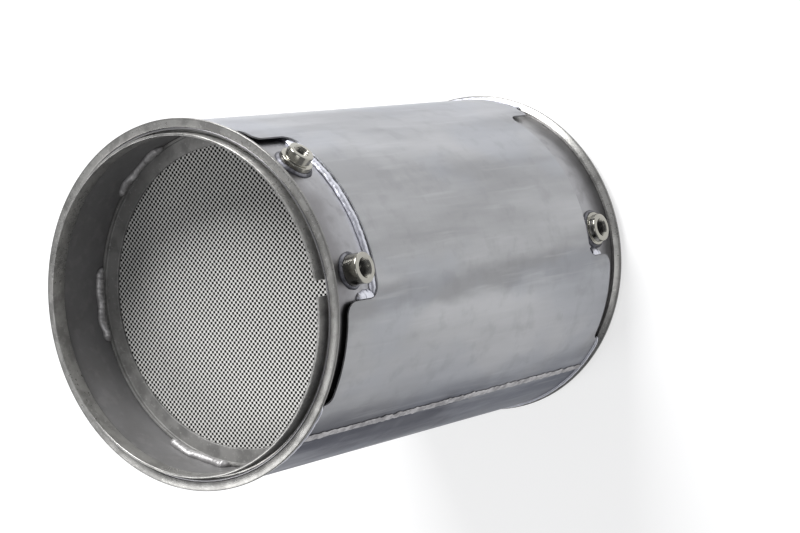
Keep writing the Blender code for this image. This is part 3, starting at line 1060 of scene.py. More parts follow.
class RippleTree(SizedTree):
    """Geometry nodes that raise ripples and lumps along a bead's crown."""

    NAME = "weld_ripples"
    SIZES = ("Ripple pitch", "Ripple depth", "Bow", "Lump height", "Lump fineness")
    ROUNDNESS = 0.6

    def _fill(self, graph: NodeGraph, entry: bpy.types.Node) -> bpy.types.NodeSocket:
        """Add the nodes.

        Args:
            graph: The tree's graph.
            entry: The tree's input node.

        Returns:
            The rippled bead.
        """
        along, across, crown = (
            graph.number(graph.add("GeometryNodeInputNamedAttribute", None, {"Name": name}))
            for name in ("along", "across", "crown")
        )
        pitch = graph.number(entry, "Ripple pitch")
        place = (along + across * across * graph.number(entry, "Bow")) / pitch
        scale = (place * math.pi).apply("SINE").absolute() ** self.ROUNDNESS
        ripple = (scale - self.ROUNDNESS) * graph.number(entry, "Ripple depth")
        position = graph.add("GeometryNodeInputPosition").outputs[0]
        lumps = graph.grain(position, graph.number(entry, "Lump fineness"), 2.0) - 0.5
        lump = lumps * graph.number(entry, "Lump height") * 2.0
        normal = graph.add("GeometryNodeInputNormal").outputs[0]
        values = {0: normal, "Scale": (ripple + lump) * crown}
        offset = graph.add("ShaderNodeVectorMath", {"operation": "SCALE"}, values)
        values = {"Geometry": entry.outputs["Geometry"], "Offset": offset.outputs[0]}
        moved = graph.add("GeometryNodeSetPosition", None, values)
        return graph.add("GeometryNodeRealizeInstances", None, {0: moved.outputs[0]}).outputs[0]


@dataclass(frozen=True)
class Ripple:
    """How a bead's crown is shaped by its scales and lumps."""

    pitch: float
    depth: float
    lump_height: float
    lump_fineness: float = 160.0

    def sizes(self) -> dict[str, float]:
        """Values for the inputs of the ripple tree."""
        values = (self.pitch, self.depth, 0.5 * self.pitch, self.lump_height, self.lump_fineness)
        return dict(zip(RippleTree.SIZES, values))


@dataclass
class WeldBead:
    """One weld bead: a section carried along a path, then rippled."""

    name: str
    place: Placer
    stations: list[float]
    section: Section
    ripple: Ripple
    closed: bool = False
    crease_angle: float = 60.0

    def build(self, ripples: RippleTree, finish: bpy.types.Material) -> bpy.types.Object:
        """Make the bead.

        Args:
            ripples: The tree that raises the ripples.
            finish: The weld metal's material.

        Returns:
            The finished bead.
        """
        bm = bmesh.new()
        rows = []
        numbers: dict[str, list[float]] = {"along": [], "across": [], "crown": []}
        for station in self.stations:
            section = self.section(station)
            top = max(rise for _, rise in section)
            half = max(abs(side) for side, _ in section)
            rows.append([self.place(station, side, rise) for side, rise in section])
            numbers["along"] += [station] * len(section)
            numbers["across"] += [side / half for side, _ in section]
            numbers["crown"] += [max(0.0, rise / top) for _, rise in section]
        skin(bm, rows, self.closed)
        item = as_object(self.name, bm)
        for name, values in numbers.items():
            keep_numbers(item, name, values)
        ripples.run_on(item, self.ripple.sizes(), finish)
        item.data.shade_smooth()
        item.data.set_sharp_from_angle(angle=math.radians(self.crease_angle))
        return item


@dataclass(frozen=True)
class Wander:
    """How far a size strays along a bead: a middle, a share, and the distance of a change."""

    share: float
    step: float
    seed: float
    middle: float = 1.0

    def at(self, station: float, shift: float = 0.0) -> float:
        """The size's factor at a station.

        Args:
            station: Distance along the bead.
            shift: Added to the seed, where several beads share it.

        Returns:
            The factor.
        """
        seed = self.seed + shift
        smooth = 1.8 * noise.noise(Vector((station / self.step, seed, 0.37 * seed)))
        return self.middle + self.share * smooth


def swelling(station: float, length: float, taper: float) -> float:
    """How full a bead is near its ends, from 0.25 to 1."""
    near = max(0.0, min(station, length - station)) / taper
    return 0.25 + 0.75 * math.sqrt(min(1.0, near))


def crowned(width: float, height: float, steps: int) -> list[Point2]:
    """Half-oval section of a bead on its flat base.

    Args:
        width: Width at the base.
        height: Height of the crown.
        steps: Chords over the crown.

    Returns:
        Points as (side, rise), from one foot over the crown to the other.
    """
    points = [(-0.5 * width, 0.0)]
    for step in range(1, steps):
        turn = math.pi * step / steps
        points.append((-0.5 * width * math.cos(turn), height * math.sin(turn) ** 0.8))
    return [*points, (0.5 * width, 0.0)]


def leaning(section: Sequence[Point2], lean: float) -> list[Point2]:
    """Push a section's crown sideways.

    Args:
        section: Points as (side, rise).
        lean: How far the crown moves; the feet stay.

    Returns:
        The lopsided section.
    """
    top = max(rise for _, rise in section)
    return [(side + lean * rise / top, rise) for side, rise in section]


@dataclass(frozen=True)
class Crown:
    """The crown of a bead: its size, how that strays along the bead, and its lean."""

    width: float
    height: float
    widths: Wander
    heights: Wander
    chords: int = 9
    lean: float = 0.0

    def section(self, station: float, fill: float = 1.0, shift: float = 0.0) -> list[Point2]:
        """Section of the crown.

        Args:
            station: Distance along the bead.
            fill: How full the bead is there.
            shift: Added to the seeds, where several beads share the crown.

        Returns:
            Points as (side, rise).
        """
        width = self.width * fill * self.widths.at(station, shift)
        height = self.height * fill * self.heights.at(station, shift)
        return leaning(crowned(width, height, self.chords), self.lean)


def spaced(start: float, stop: float, step: float) -> list[float]:
    """Even stations between two values, both included."""
    count = max(1, math.ceil((stop - start) / step))
    return [start + (stop - start) * k / count for k in range(count + 1)]


# Sub-assemblies


@dataclass
class EndRings:
    """The turned and rolled rings of both ends: pipe, flange, pilot ring, retaining ring."""

    sizes: CanisterSizes
    pipe_steel: bpy.types.Material
    ring_steel: bpy.types.Material
    inner_steel: bpy.types.Material
    bores: dict[str, list[tuple[float, float]]]
    edge_round: float = 0.0005
    flange_edge: float = 0.0026
    flange_land: float = 0.0025
    split_azimuth: float = 21.7
    split_width: float = 0.0140
    drill_room: float = 0.004
    drill_steps: int = 72

    def build(self) -> None:
        """Make the rings of both ends."""
        for end in self.sizes.ends:
            self.end_pipe(end)
            self.flange(end)
            self.pilot_ring(end)
            self.retaining_ring(end)

    def _ring(self, end: CanisterEnd, suffix: str, corners: Sequence[Corner]) -> bpy.types.Object:
        """A turned ring from corners given as (radius, depth, rounding)."""
        profile = [(r, end.z(depth)) for r, depth in eased(corners)]
        return turned(end.node(f"{suffix}_turned"), profile)

    def end_pipe(self, end: CanisterEnd) -> None:
        """Pipe with holes under its bosses.

        Args:
            end: The canister's end.
        """
        inner, outer = self.sizes.can_inner, self.sizes.can_outer
        length, soft = self.sizes.pipe_length, self.edge_round
        corners = [(inner, 0.0, soft), (outer, 0.0, soft)]
        corners += [(outer, length, 0.0), (inner, length, 0.0)]
        pipe = self._ring(end, "end_pipe", corners)
        for azimuth, radius in self.bores[end.name]:
            drill = self._drill(end, azimuth, radius)
            cut = pipe.modifiers.new("drill", "BOOLEAN")
            cut.operation = "DIFFERENCE"
            cut.solver = "EXACT"
            cut.object = drill
            settle(pipe)
            bpy.data.objects.remove(drill, do_unlink=True)
        pipe.data.set_sharp_from_angle(angle=math.radians(SHARP_ANGLE))
        dress(pipe, self.pipe_steel, [end.node("end_pipe")])

    def _drill(self, end: CanisterEnd, azimuth: float, radius: float) -> bpy.types.Object:
        """A round cutter through the pipe wall.

        Args:
            end: The canister's end.
            azimuth: Direction of the hole.
            radius: Radius of the hole.

        Returns:
            The cutter.
        """
        out, side = polar(1.0, azimuth, 0.0), polar(1.0, azimuth + 90.0, 0.0)
        rise = Vector((0.0, 0.0, 1.0))
        centre = rise * end.z(self.sizes.boss_depth)
        turns = [math.tau * k / self.drill_steps for k in range(self.drill_steps)]
        arms = [(side * math.cos(turn) + rise * math.sin(turn)) * radius for turn in turns]
        reaches = (self.sizes.can_inner - self.drill_room, self.sizes.can_outer + self.drill_room)
        bm = bmesh.new()
        skin(bm, [[centre + out * reach + arm for arm in arms] for reach in reaches], False)
        return as_object("drill", bm)

    def flange(self, end: CanisterEnd) -> None:
        """Clamp flange with its tapered back.

        Args:
            end: The canister's end.
        """
        inner, outer = self.sizes.can_outer + SEAT_GAP, self.sizes.flange_outer
        back, soft = self.sizes.flange_back, self.edge_round
        corners = [
            (inner, 0.0, 0.4 * soft),
            (outer, 0.0, 1.5 * soft),
            (outer, self.flange_edge, 1.2 * soft),
            (inner + self.flange_land, back, 1.2 * soft),
            (inner, back, 0.0),
        ]
        ring = self._ring(end, "flange", corners)
        dress(ring, self.ring_steel, [end.node("flange")])

    def pilot_ring(self, end: CanisterEnd) -> None:
        """Rolled strip with an outward foot, split where its two ends meet.

        Args:
            end: The canister's end.
        """
        outer = self.sizes.pilot_outer
        inner = outer - self.sizes.pilot_wall
        foot = self.sizes.ring_outer
        depth, proud, soft = self.sizes.pilot_depth, self.sizes.pilot_proud, self.edge_round
        step = depth - self.sizes.pilot_foot
        corners = [
            (inner, depth, 2.4 * soft),
            (inner, -proud, 1.4 * soft),
            (outer, -proud, 1.4 * soft),
            (outer, step, 1.6 * soft),
            (foot, step, 0.8 * soft),
            (foot, depth, 0.8 * soft),
        ]
        half = math.degrees(0.5 * self.split_width / outer)
        profile = [(r, end.z(d)) for r, d in eased(corners)]
        start, stop = self.split_azimuth + half, self.split_azimuth + 360.0 - half
        ring = turned(end.node("pilot_ring_rolled"), profile, start, stop)
        dress(ring, self.ring_steel, [end.node("pilot_ring")])

    def retaining_ring(self, end: CanisterEnd) -> None:
        """Angle ring over the edge of the block's face.

        Args:
            end: The canister's end.
        """
        outer, inner, wall = self.sizes.ring_outer, self.sizes.ring_inner, self.sizes.ring_wall
        back, soft = self.sizes.ring_back, self.edge_round
        face = back - wall
        top = face - self.sizes.ring_upstand
        corners = [
            (inner, face, 1.6 * soft),
            (outer - wall, face, 2.0 * soft),
            (outer - wall, top, 1.0 * soft),
            (outer, top, 1.0 * soft),
            (outer, back, 2.0 * soft),
            (inner, back, 0.6 * soft),
        ]
        ring = self._ring(end, "retaining_ring", corners)
        dress(ring, self.inner_steel, [end.node("retaining_ring")])


@dataclass
class HeatShield:
    """The rolled sheet with its windows and slits."""

    sizes: CanisterSizes
    steel: bpy.types.Material
    seam_azimuth: float = -30.0
    seam_gap: float = 0.0022
    window_low_room: float = 0.0264
    window_high_room: float = 0.0350
    slit_low_reach: float = 0.0904
    slit_high_reach: float = 0.0181
    window_corner: float = 0.0125
    slit_corner: float = 0.0075
    slit_depth: float = 0.0190
    arc_steps: int = 10
    edge_round: float = 0.00035
    crease_angle: float = 46.0
    bend_tolerance: float = 1e-6

    @property
    def window_from(self) -> float:
        """Azimuth of the window's side beside the tall boss."""
        return self.sizes.sensor_azimuth - self.sizes.round_can(self.window_low_room)

    @property
    def window_to(self) -> float:
        """Azimuth of the window's side beside the stepped boss."""
        return self.sizes.pressure_azimuth + self.sizes.round_can(self.window_high_room)

    @property
    def slit_from(self) -> float:
        """Azimuth where the slit below the window ends."""
        return self.window_from - self.sizes.round_can(self.slit_low_reach)

    @property
    def slit_to(self) -> float:
        """Azimuth where the slit above the window ends."""
        return self.window_to + self.sizes.round_can(self.slit_high_reach)

    def build(self) -> None:
        """Cut the flat blank, thicken it and roll it round the can."""
        outer, wall = self.sizes.shield_outer, self.sizes.shield_wall
        bm = self._blank()
        grown = bmesh.ops.extrude_face_region(bm, geom=bm.faces[:])["geom"]
        for vert in (item for item in grown if isinstance(item, bmesh.types.BMVert)):
            vert.co.z = -wall
        for vert in bm.verts:
            azimuth = math.degrees(vert.co.x / outer)
            vert.co = polar(outer + vert.co.z, azimuth, vert.co.y)
        sheet = as_object("shield_sheet", bm)
        soften_edges(sheet, self.edge_round)
        settle(sheet)
        sheet.data.shade_smooth()
        sheet.data.set_sharp_from_angle(angle=math.radians(self.crease_angle))
        even = sheet.modifiers.new("even_normals", "WEIGHTED_NORMAL")
        even.keep_sharp = True
        settle(sheet)
        dress(sheet, self.steel, ["outer_shield"])

    def reach(self, azimuth: float) -> float:
        """Distance round the sheet from azimuth 0."""
        return math.radians(azimuth) * self.sizes.shield_outer

    def _end_corners(self, end: CanisterEnd) -> list[Corner]:
        """Corners along one end edge of the flat blank, from low to high azimuth.

        Args:
            end: The canister's end.

        Returns:
            Corners as (x, y, radius).
        """
        low, slit = end.z(self.sizes.shield_setback), end.z(self.slit_depth)
        deep = end.z(end.window_depth)
        window, ends = self.window_corner, self.slit_corner
        corners = [
            (self.slit_from, low, 0.0),
            (self.slit_from, slit, ends),
            (self.window_from, slit, window),
            (self.window_from, deep, window),
            (self.window_to, deep, window),
            (self.window_to, slit, ends),
            (self.slit_to, slit, ends),
            (self.slit_to, low, 0.0),
        ]
        return [(self.reach(azimuth), y, radius) for azimuth, y, radius in corners]

    def _blank(self) -> bmesh.types.BMesh:
        """The flat sheet, divided at its bend lines.

        Returns:
            A mesh in the XY plane, X round the canister and Y along it.
        """
        half_gap = math.degrees(0.5 * self.seam_gap / self.sizes.shield_outer)
        start = self.reach(self.seam_azimuth + half_gap)
        stop = self.reach(self.seam_azimuth + 360.0 - half_gap)
        high = self.sizes.inlet.z(self.sizes.shield_setback)
        low = self.sizes.outlet.z(self.sizes.shield_setback)
        corners = [(start, high, 0.0), *self._end_corners(self.sizes.inlet), (stop, high, 0.0)]
        corners += [(stop, low, 0.0), *reversed(self._end_corners(self.sizes.outlet))]
        corners.append((start, low, 0.0))
        bm = bmesh.new()
        verts = [bm.verts.new((x, y, 0.0)) for x, y in eased(corners, self.arc_steps)]
        edges = [bm.edges.new(pair) for pair in zip(verts, verts[1:] + verts[:1])]
        bmesh.ops.triangle_fill(bm, edges=edges, use_dissolve=False)
        step = math.tau * self.sizes.shield_outer / RING_STEPS
        first, last = math.floor(start / step) + 1, math.ceil(stop / step) - 1
        bends = [k * step for k in range(first, last + 1)]
        for x in bends:
            everything = bm.verts[:] + bm.edges[:] + bm.faces[:]
            plane = {"plane_co": (x, 0, 0), "plane_no": (1, 0, 0)}
            bmesh.ops.bisect_plane(bm, geom=everything, dist=0.1 * self.bend_tolerance, **plane)
        loose = [e for e in bm.edges if len(e.link_faces) == 2 and not self._on_bend(e, step)]
        bmesh.ops.dissolve_edges(bm, edges=loose, use_verts=False)
        return bm

    def _on_bend(self, edge: bmesh.types.BMEdge, step: float) -> bool:
        """Whether a flat edge runs along a bend line.

        Args:
            edge: The edge.
            step: Distance between bend lines.

        Returns:
            True where both its ends are on one line.
        """
        first, second = (vert.co.x for vert in edge.verts)
        nearest = round(first / step) * step
        return max(abs(first - second), abs(first - nearest)) < self.bend_tolerance


@dataclass
class CanisterWelds:
    """Every weld bead of the canister."""

    sizes: CanisterSizes
    shield: HeatShield
    ripples: RippleTree
    finish: bpy.types.Material
    seam_finish: bpy.types.Material
    tack_finish: bpy.types.Material
    joint_crown: Crown = Crown(
        0.0080, 0.0034, Wander(0.08, 0.009, 11.0), Wander(0.08, 0.008, 13.0), 12, 0.0011
    )
    joint_offset: float = 0.3
    joint_margin: float = 6.0
    joint_seen_step: float = 0.15
    joint_hidden_step: float = 1.2
    joint_ripple: Ripple = Ripple(0.0046, 0.00022, 0.00030, 110.0)
    seam_crown: Crown = Crown(
        0.0080, 0.0012, Wander(0.30, 0.007, 3.0, 0.86), Wander(0.25, 0.010, 5.0)
    )
    seam_shift: Wander = Wander(0.0004, 0.012, 8.0, 0.0)
    seam_sunk: float = 0.0002
    seam_step: float = 0.00042
    seam_ripple: Ripple = Ripple(0.0024, 0.00042, 0.00030)
    edge_sunk: float = 0.0006
    edge_height: float = 0.0040
    edge_heights: Wander = Wander(0.06, 0.006, 17.0)
    edge_chords: int = 7
    edge_taper: float = 0.006
    edge_step: float = 0.0007
    edge_ripple: Ripple = Ripple(0.0034, 0.00022, 0.00022)
    tack_azimuths: tuple[float, ...] = (25.0, 84.0, 144.5, 198.1, 267.9, 327.0)
    tack_span: float = 26.0
    tack_crown: Crown = Crown(
        0.0088, 0.0050, Wander(0.20, 0.014, 23.0), Wander(0.25, 0.012, 31.0), 10
    )
    tack_taper: float = 0.005
    tack_step: float = 0.0006
    tack_ripple: Ripple = Ripple(0.0050, 0.00065, 0.00075, 170.0)
    window_bead_length: float = 0.0150
    window_bead_turn: float = 24.0
    window_bead_width: float = 0.0074
    window_bead_rise: float = 0.94
    window_bead_fills: Wander = Wander(0.10, 0.005, 19.0)
    window_bead_taper: float = 0.010
    window_bead_step: float = 0.0005
    window_bead_ripple: Ripple = Ripple(0.0030, 0.00030, 0.00030)

    WINDOW_BEAD = (
        (0.0, 0.0), (0.0, 0.8), (0.02, 1.0), (0.30, 0.92), (0.60, 0.66), (0.86, 0.3), (1.0, 0.0)
    )

    def build(self) -> None:
        """Lay all beads but those of the bosses."""
        self.seam()
        for end in self.sizes.ends:
            self.joint(end)
            self.shield_edge(end)
            self.window_side(end)
            for number, azimuth in enumerate(self.tack_azimuths, start=1):
                self.tack(end, number, azimuth)

    def finish_bead(self, bead: WeldBead, node: str, finish: bpy.types.Material) -> None:
        """Build a bead and put it in its solid's place."""
        dress(bead.build(self.ripples, finish), finish, [node])

    def seam(self) -> None:
        """Bead that closes the rolled sheet's two long edges."""
        low = self.sizes.outlet.z(self.sizes.shield_setback)
        high = self.sizes.inlet.z(self.sizes.shield_setback)
        azimuth, sunk = self.shield.seam_azimuth, self.seam_sunk
        out, side = polar(1.0, azimuth, 0.0), polar(1.0, azimuth + 90.0, 0.0)
        base = self.sizes.shield_outer - sunk
        root = 0.5 * self.shield.seam_gap - SEAT_GAP
        inside = -self.sizes.shield_wall + sunk

        def place(station: float, across: float, rise: float) -> Vector:
            """Point of the bead on the sheet."""
            return out * (base + rise) + side * across + Vector((0.0, 0.0, low + station))

        def section(station: float) -> list[Point2]:
            """Uneven crown on a root that reaches through the gap.

            Args:
                station: Distance along the bead.

            Returns:
                Points as (side, rise).
            """
            shift = self.seam_shift.at(station)
            crown = self.seam_crown.section(station)
            crown = [(side + shift, rise + SEAT_GAP + sunk) for side, rise in crown]
            return [(-root, inside), (-root, sunk), *crown, (root, sunk), (root, inside)]

        stations = spaced(0.0, high - low, self.seam_step)
        bead = WeldBead("shield_seam_bead", place, stations, section, self.seam_ripple)
        self.finish_bead(bead, "shield_seam_weld", self.seam_finish)

    def joint(self, end: CanisterEnd) -> None:
        """Bead round the joint of end pipe and can, with fine steps where it is seen.

        Args:
            end: The canister's end.
        """
        radius = self.sizes.can_outer + SEAT_GAP
        middle = self.sizes.pipe_length - self.joint_offset * self.joint_crown.width
        seen_from, seen_to = self.shield.window_from - self.joint_margin, self.shield.slit_to
        azimuths = spaced(seen_from, seen_to, self.joint_seen_step)
        azimuths += spaced(seen_to, seen_from + 360.0, self.joint_hidden_step)[1:-1]

        def place(station: float, across: float, rise: float) -> Vector:
            """Point of the bead on the can."""
            return polar(radius + rise, math.degrees(station / radius), end.z(middle + across))

        stations = [math.radians(azimuth) * radius for azimuth in azimuths]
        name, section = end.node("joint_bead"), self.joint_crown.section
        bead = WeldBead(name, place, stations, section, self.joint_ripple, closed=True)
        self.finish_bead(bead, end.node("joint_weld"), self.finish)

    def shield_edge(self, end: CanisterEnd) -> None:
        """Bead between the heat shield's end edge and the back of the flange.

        Args:
            end: The canister's end.
        """
        near = self.sizes.flange_back + SEAT_GAP
        far = self.sizes.shield_setback - SEAT_GAP
        radius = self.sizes.shield_inner - self.edge_sunk
        start = math.radians(self.shield.slit_to) * radius
        stop = math.radians(self.shield.slit_from + 360.0) * radius

        def place(station: float, across: float, rise: float) -> Vector:
            """Point of the bead between sheet and flange."""
            azimuth = math.degrees((start + station) / radius)
            return polar(radius + rise, azimuth, end.z(0.5 * (near + far) + across))

        def section(station: float) -> list[Point2]:
            """Crown that thins out at the bead's two ends.

            Args:
                station: Distance along the bead.

            Returns:
                Points as (side, rise).
            """
            fill = swelling(station, stop - start, self.edge_taper)
            height = self.edge_height * fill * self.edge_heights.at(station)
            return crowned(far - near, height, self.edge_chords)

        stations = spaced(0.0, stop - start, self.edge_step)
        name = end.node("shield_edge_bead")
        bead = WeldBead(name, place, stations, section, self.edge_ripple)
        self.finish_bead(bead, end.node("shield_weld"), self.finish)

    def window_side(self, end: CanisterEnd) -> None:
        """Short full bead along the window's side and into its deep corner.

        Args:
            end: The canister's end.
        """
        base = self.sizes.can_outer + SEAT_GAP
        corner, straight = self.shield.window_corner, self.window_bead_length
        bend = end.window_depth - corner
        edge = math.radians(self.shield.window_from) * base + 2.0 * SEAT_GAP
        length = straight + math.radians(self.window_bead_turn) * corner
        tall = self.sizes.shield_outer - base

        def place(station: float, across: float, rise: float) -> Vector:
            """Point of the bead, first along the side and then round the corner.

            Args:
                station: Distance along the bead.
                across: Distance from the sheet's edge.
                rise: Height over the can.

            Returns:
                The point.
            """
            turn = max(0.0, station - straight) / corner
            arm = corner - across
            way = edge + corner - arm * math.cos(turn)
            depth = bend + min(station, straight) - straight + arm * math.sin(turn)
            return polar(base + rise, math.degrees(way / base), end.z(depth))

        def section(station: float) -> list[Point2]:
            """Section that fills the step from can to sheet.

            Args:
                station: Distance along the bead.

            Returns:
                Points as (side, rise).
            """
            fill = swelling(station, 2.0 * length, self.window_bead_taper)
            fill *= self.window_bead_fills.at(station)
            wide = self.window_bead_width * fill
            high = self.window_bead_rise * tall * min(1.0, fill)
            return [(x * wide, y * high) for x, y in self.WINDOW_BEAD]

        stations = spaced(0.0, length, self.window_bead_step)
        name = end.node("window_corner_bead")
        bead = WeldBead(name, place, stations, section, self.window_bead_ripple)
        self.finish_bead(bead, end.node("window_weld"), self.finish)

    def tack(self, end: CanisterEnd, number: int, middle: float) -> None:
        """Lumpy stitch bead between the end pipe and the retaining ring.

        Args:
            end: The canister's end.
            number: Which of the row of beads it is.
            middle: The azimuth of its middle.
        """
        wall = self.sizes.ring_outer
        foot = self.sizes.ring_back - self.sizes.ring_wall - self.sizes.ring_upstand - SEAT_GAP
        length = math.radians(self.tack_span) * wall
        start = math.radians(middle) * wall - 0.5 * length

        def place(station: float, across: float, rise: float) -> Vector:
            """Point of the bead on the pipe's inner wall."""
            azimuth = math.degrees((start + station) / wall)
            return polar(wall - rise, azimuth, end.z(foot - across))

        def section(station: float) -> list[Point2]:
            """Uneven crown that thins out at the bead's two ends.

            Args:
                station: Distance along the bead.

            Returns:
                Points as (side, rise), with one foot at side 0.
            """
            fill = swelling(station, length, self.tack_taper)
            crown = self.tack_crown.section(station, fill, number)
            return [(side - crown[0][0], rise) for side, rise in crown]

        stations = spaced(0.0, length, self.tack_step)
        name = f"{end.node('tack_bead')}_{number}"
        bead = WeldBead(name, place, stations, section, self.tack_ripple)
        self.finish_bead(bead, f"{end.node('tack_weld')}_{number}", self.tack_finish)


@dataclass
class ThreadedBoss:
    """A turned boss with an internal thread and a foot shaped to the round pipe."""

    name: str
    end: CanisterEnd
    azimuth: float
    steps: Sequence[Corner]
    bore: float
    thread_pitch: float
    thread_depth: float
    turns: int = 96
    rows_per_thread: int = 6
    chamfer: float = 0.0010
    sunk: float = 0.004
    bead_width: float = 0.0027
    bead_sizes: Wander = Wander(0.14, 0.006, 0.0)
    bead_step: float = 0.0005
    bead_scales: float = 30.0

    FILLET = ((0.0, 0.0), (0.0, 0.9), (0.12, 0.9), (0.40, 0.66), (0.72, 0.34), (1.0, 0.0))

    @property
    def top(self) -> float:
        """Height of the boss over the pipe."""
        return max(height for _, height, _ in self.steps)

    def place(self, sizes: CanisterSizes, radius: float, turn: float, height: float) -> Vector:
        """Point of the boss.

        Args:
            sizes: The canister's sizes.
            radius: Distance from the boss's own axis.
            turn: Angle round that axis.
            height: Height over the pipe.

        Returns:
            The point.
        """
        out, side = polar(1.0, self.azimuth, 0.0), polar(1.0, self.azimuth + 90.0, 0.0)
        rise = Vector((0.0, 0.0, self.end.z(sizes.boss_depth) + radius * math.sin(turn)))
        return out * (sizes.can_outer + height) + side * (radius * math.cos(turn)) + rise

    def seat(self, sizes: CanisterSizes, radius: float, turn: float) -> float:
        """Height over the pipe's crest at which the round pipe lies under a point."""
        across = radius * math.cos(turn)
        return math.sqrt((sizes.can_outer + SEAT_GAP) ** 2 - across**2) - sizes.can_outer

    def body(self, sizes: CanisterSizes) -> bpy.types.Object:
        """Turn the boss.

        Args:
            sizes: The canister's sizes.

        Returns:
            The boss with its thread.
        """
        outer = self.steps[0][0]
        thread_top = self.top - self.chamfer
        corners = [(outer, -self.sunk, 0.0), *self.steps]
        corners += [(self.bore + self.chamfer, self.top, 0.0), (self.bore, thread_top, 0.0)]
        corners.append((self.bore, -self.sunk, 0.0))
        outline = eased(corners)[1:-1]
        rows = math.ceil(thread_top / self.thread_pitch * self.rows_per_thread)
        bm = bmesh.new()
        sections = []
        for k in range(self.turns):
            turn = math.tau * k / self.turns
            section = [self.place(sizes, outer, turn, self.seat(sizes, outer, turn))]
            section += [self.place(sizes, radius, turn, height) for radius, height in outline]
            foot = self.seat(sizes, self.bore, turn)
            for row in range(1, rows + 1):
                height = thread_top + (foot - thread_top) * row / rows
                cut = self._thread(height, turn) if row < rows else 0.0
                section.append(self.place(sizes, self.bore + cut, turn, height))
            sections.append(section)
        skin(bm, sections, True)
        item = as_object(f"{self.name}_turned", bm)
        # Depth down the bore, kept for the finish's painted shade.
        deep = [0.0] * (len(outline) + 1) + [row / rows for row in range(1, rows + 1)]
        keep_numbers(item, "bore", deep * self.turns)
        return item

    def _thread(self, height: float, turn: float) -> float:
        """How deep the thread is cut at a point of the bore."""
        phase = (height / self.thread_pitch + turn / math.tau) % 1.0
        return self.thread_depth * (1.0 - abs(2.0 * phase - 1.0))

    def bead(self, sizes: CanisterSizes) -> WeldBead:
        """The fillet bead round the boss's foot.

        Args:
            sizes: The canister's sizes.

        Returns:
            The bead, ready to build.
        """
        inner = self.steps[0][0] + SEAT_GAP

        def place(station: float, across: float, rise: float) -> Vector:
            """Point of the bead on the round pipe."""
            turn, radius = station / inner, inner + across
            return self.place(sizes, radius, turn, self.seat(sizes, radius, turn) + rise)

        def section(station: float) -> list[Point2]:
            """Uneven fillet against the boss."""
            size = self.bead_width * self.bead_sizes.at(station, self.azimuth)
            return [(x * size, y * size) for x, y in self.FILLET]

        length = math.tau * inner
        stations = spaced(0.0, length, self.bead_step)[:-1]
        ripple = Ripple(length / self.bead_scales, 0.00028, 0.00025)
        return WeldBead(f"{self.name}_bead", place, stations, section, ripple, closed=True)


@dataclass
class SensorBosses:
    """The three threaded bosses in the windows."""

    sizes: CanisterSizes
    steel: bpy.types.Material
    bead_finish: bpy.types.Material
    welds: CanisterWelds
    sensor_bore: float = 0.0082
    pressure_bore: float = 0.0065

    TALL = ((0.0140, 0.0165, 0.0010),)
    STEPPED = ((0.0155, 0.0065, 0.0008), (0.0120, 0.0065, 0.0005), (0.0120, 0.0150, 0.0010))
    SHORT = ((0.0168, 0.0034, 0.0006), (0.0140, 0.0034, 0.0004), (0.0140, 0.0100, 0.0010))

    def bores(self) -> dict[str, list[tuple[float, float]]]:
        """The holes in each end pipe.

        Returns:
            Azimuth and radius of each hole, by the end's name.
        """
        sensor = (self.sizes.sensor_azimuth, self.sensor_bore)
        pressure = (self.sizes.pressure_azimuth, self.pressure_bore)
        return {"inlet": [sensor, pressure], "outlet": [sensor]}

    def all(self) -> list[ThreadedBoss]:
        """The bosses, from outlines of (radius, height, rounding).

        Returns:
            The three bosses, ready to turn.
        """
        inlet, outlet = self.sizes.inlet, self.sizes.outlet
        low, high = self.sizes.sensor_azimuth, self.sizes.pressure_azimuth
        sensor = (self.sensor_bore, 0.0015, 0.0008)
        pressure = (self.pressure_bore, 0.0015, 0.0007)
        return [
            ThreadedBoss("inlet_sensor_boss", inlet, low, self.TALL, *sensor),
            ThreadedBoss("inlet_pressure_boss", inlet, high, self.STEPPED, *pressure),
            ThreadedBoss("outlet_sensor_boss", outlet, low, self.SHORT, *sensor),
        ]

    def build(self) -> None:
        """Turn the bosses and weld them on."""
        for boss in self.all():
            dress(boss.body(self.sizes), self.steel, [boss.name])
            self.welds.finish_bead(boss.bead(self.sizes), f"{boss.name}_weld", self.bead_finish)


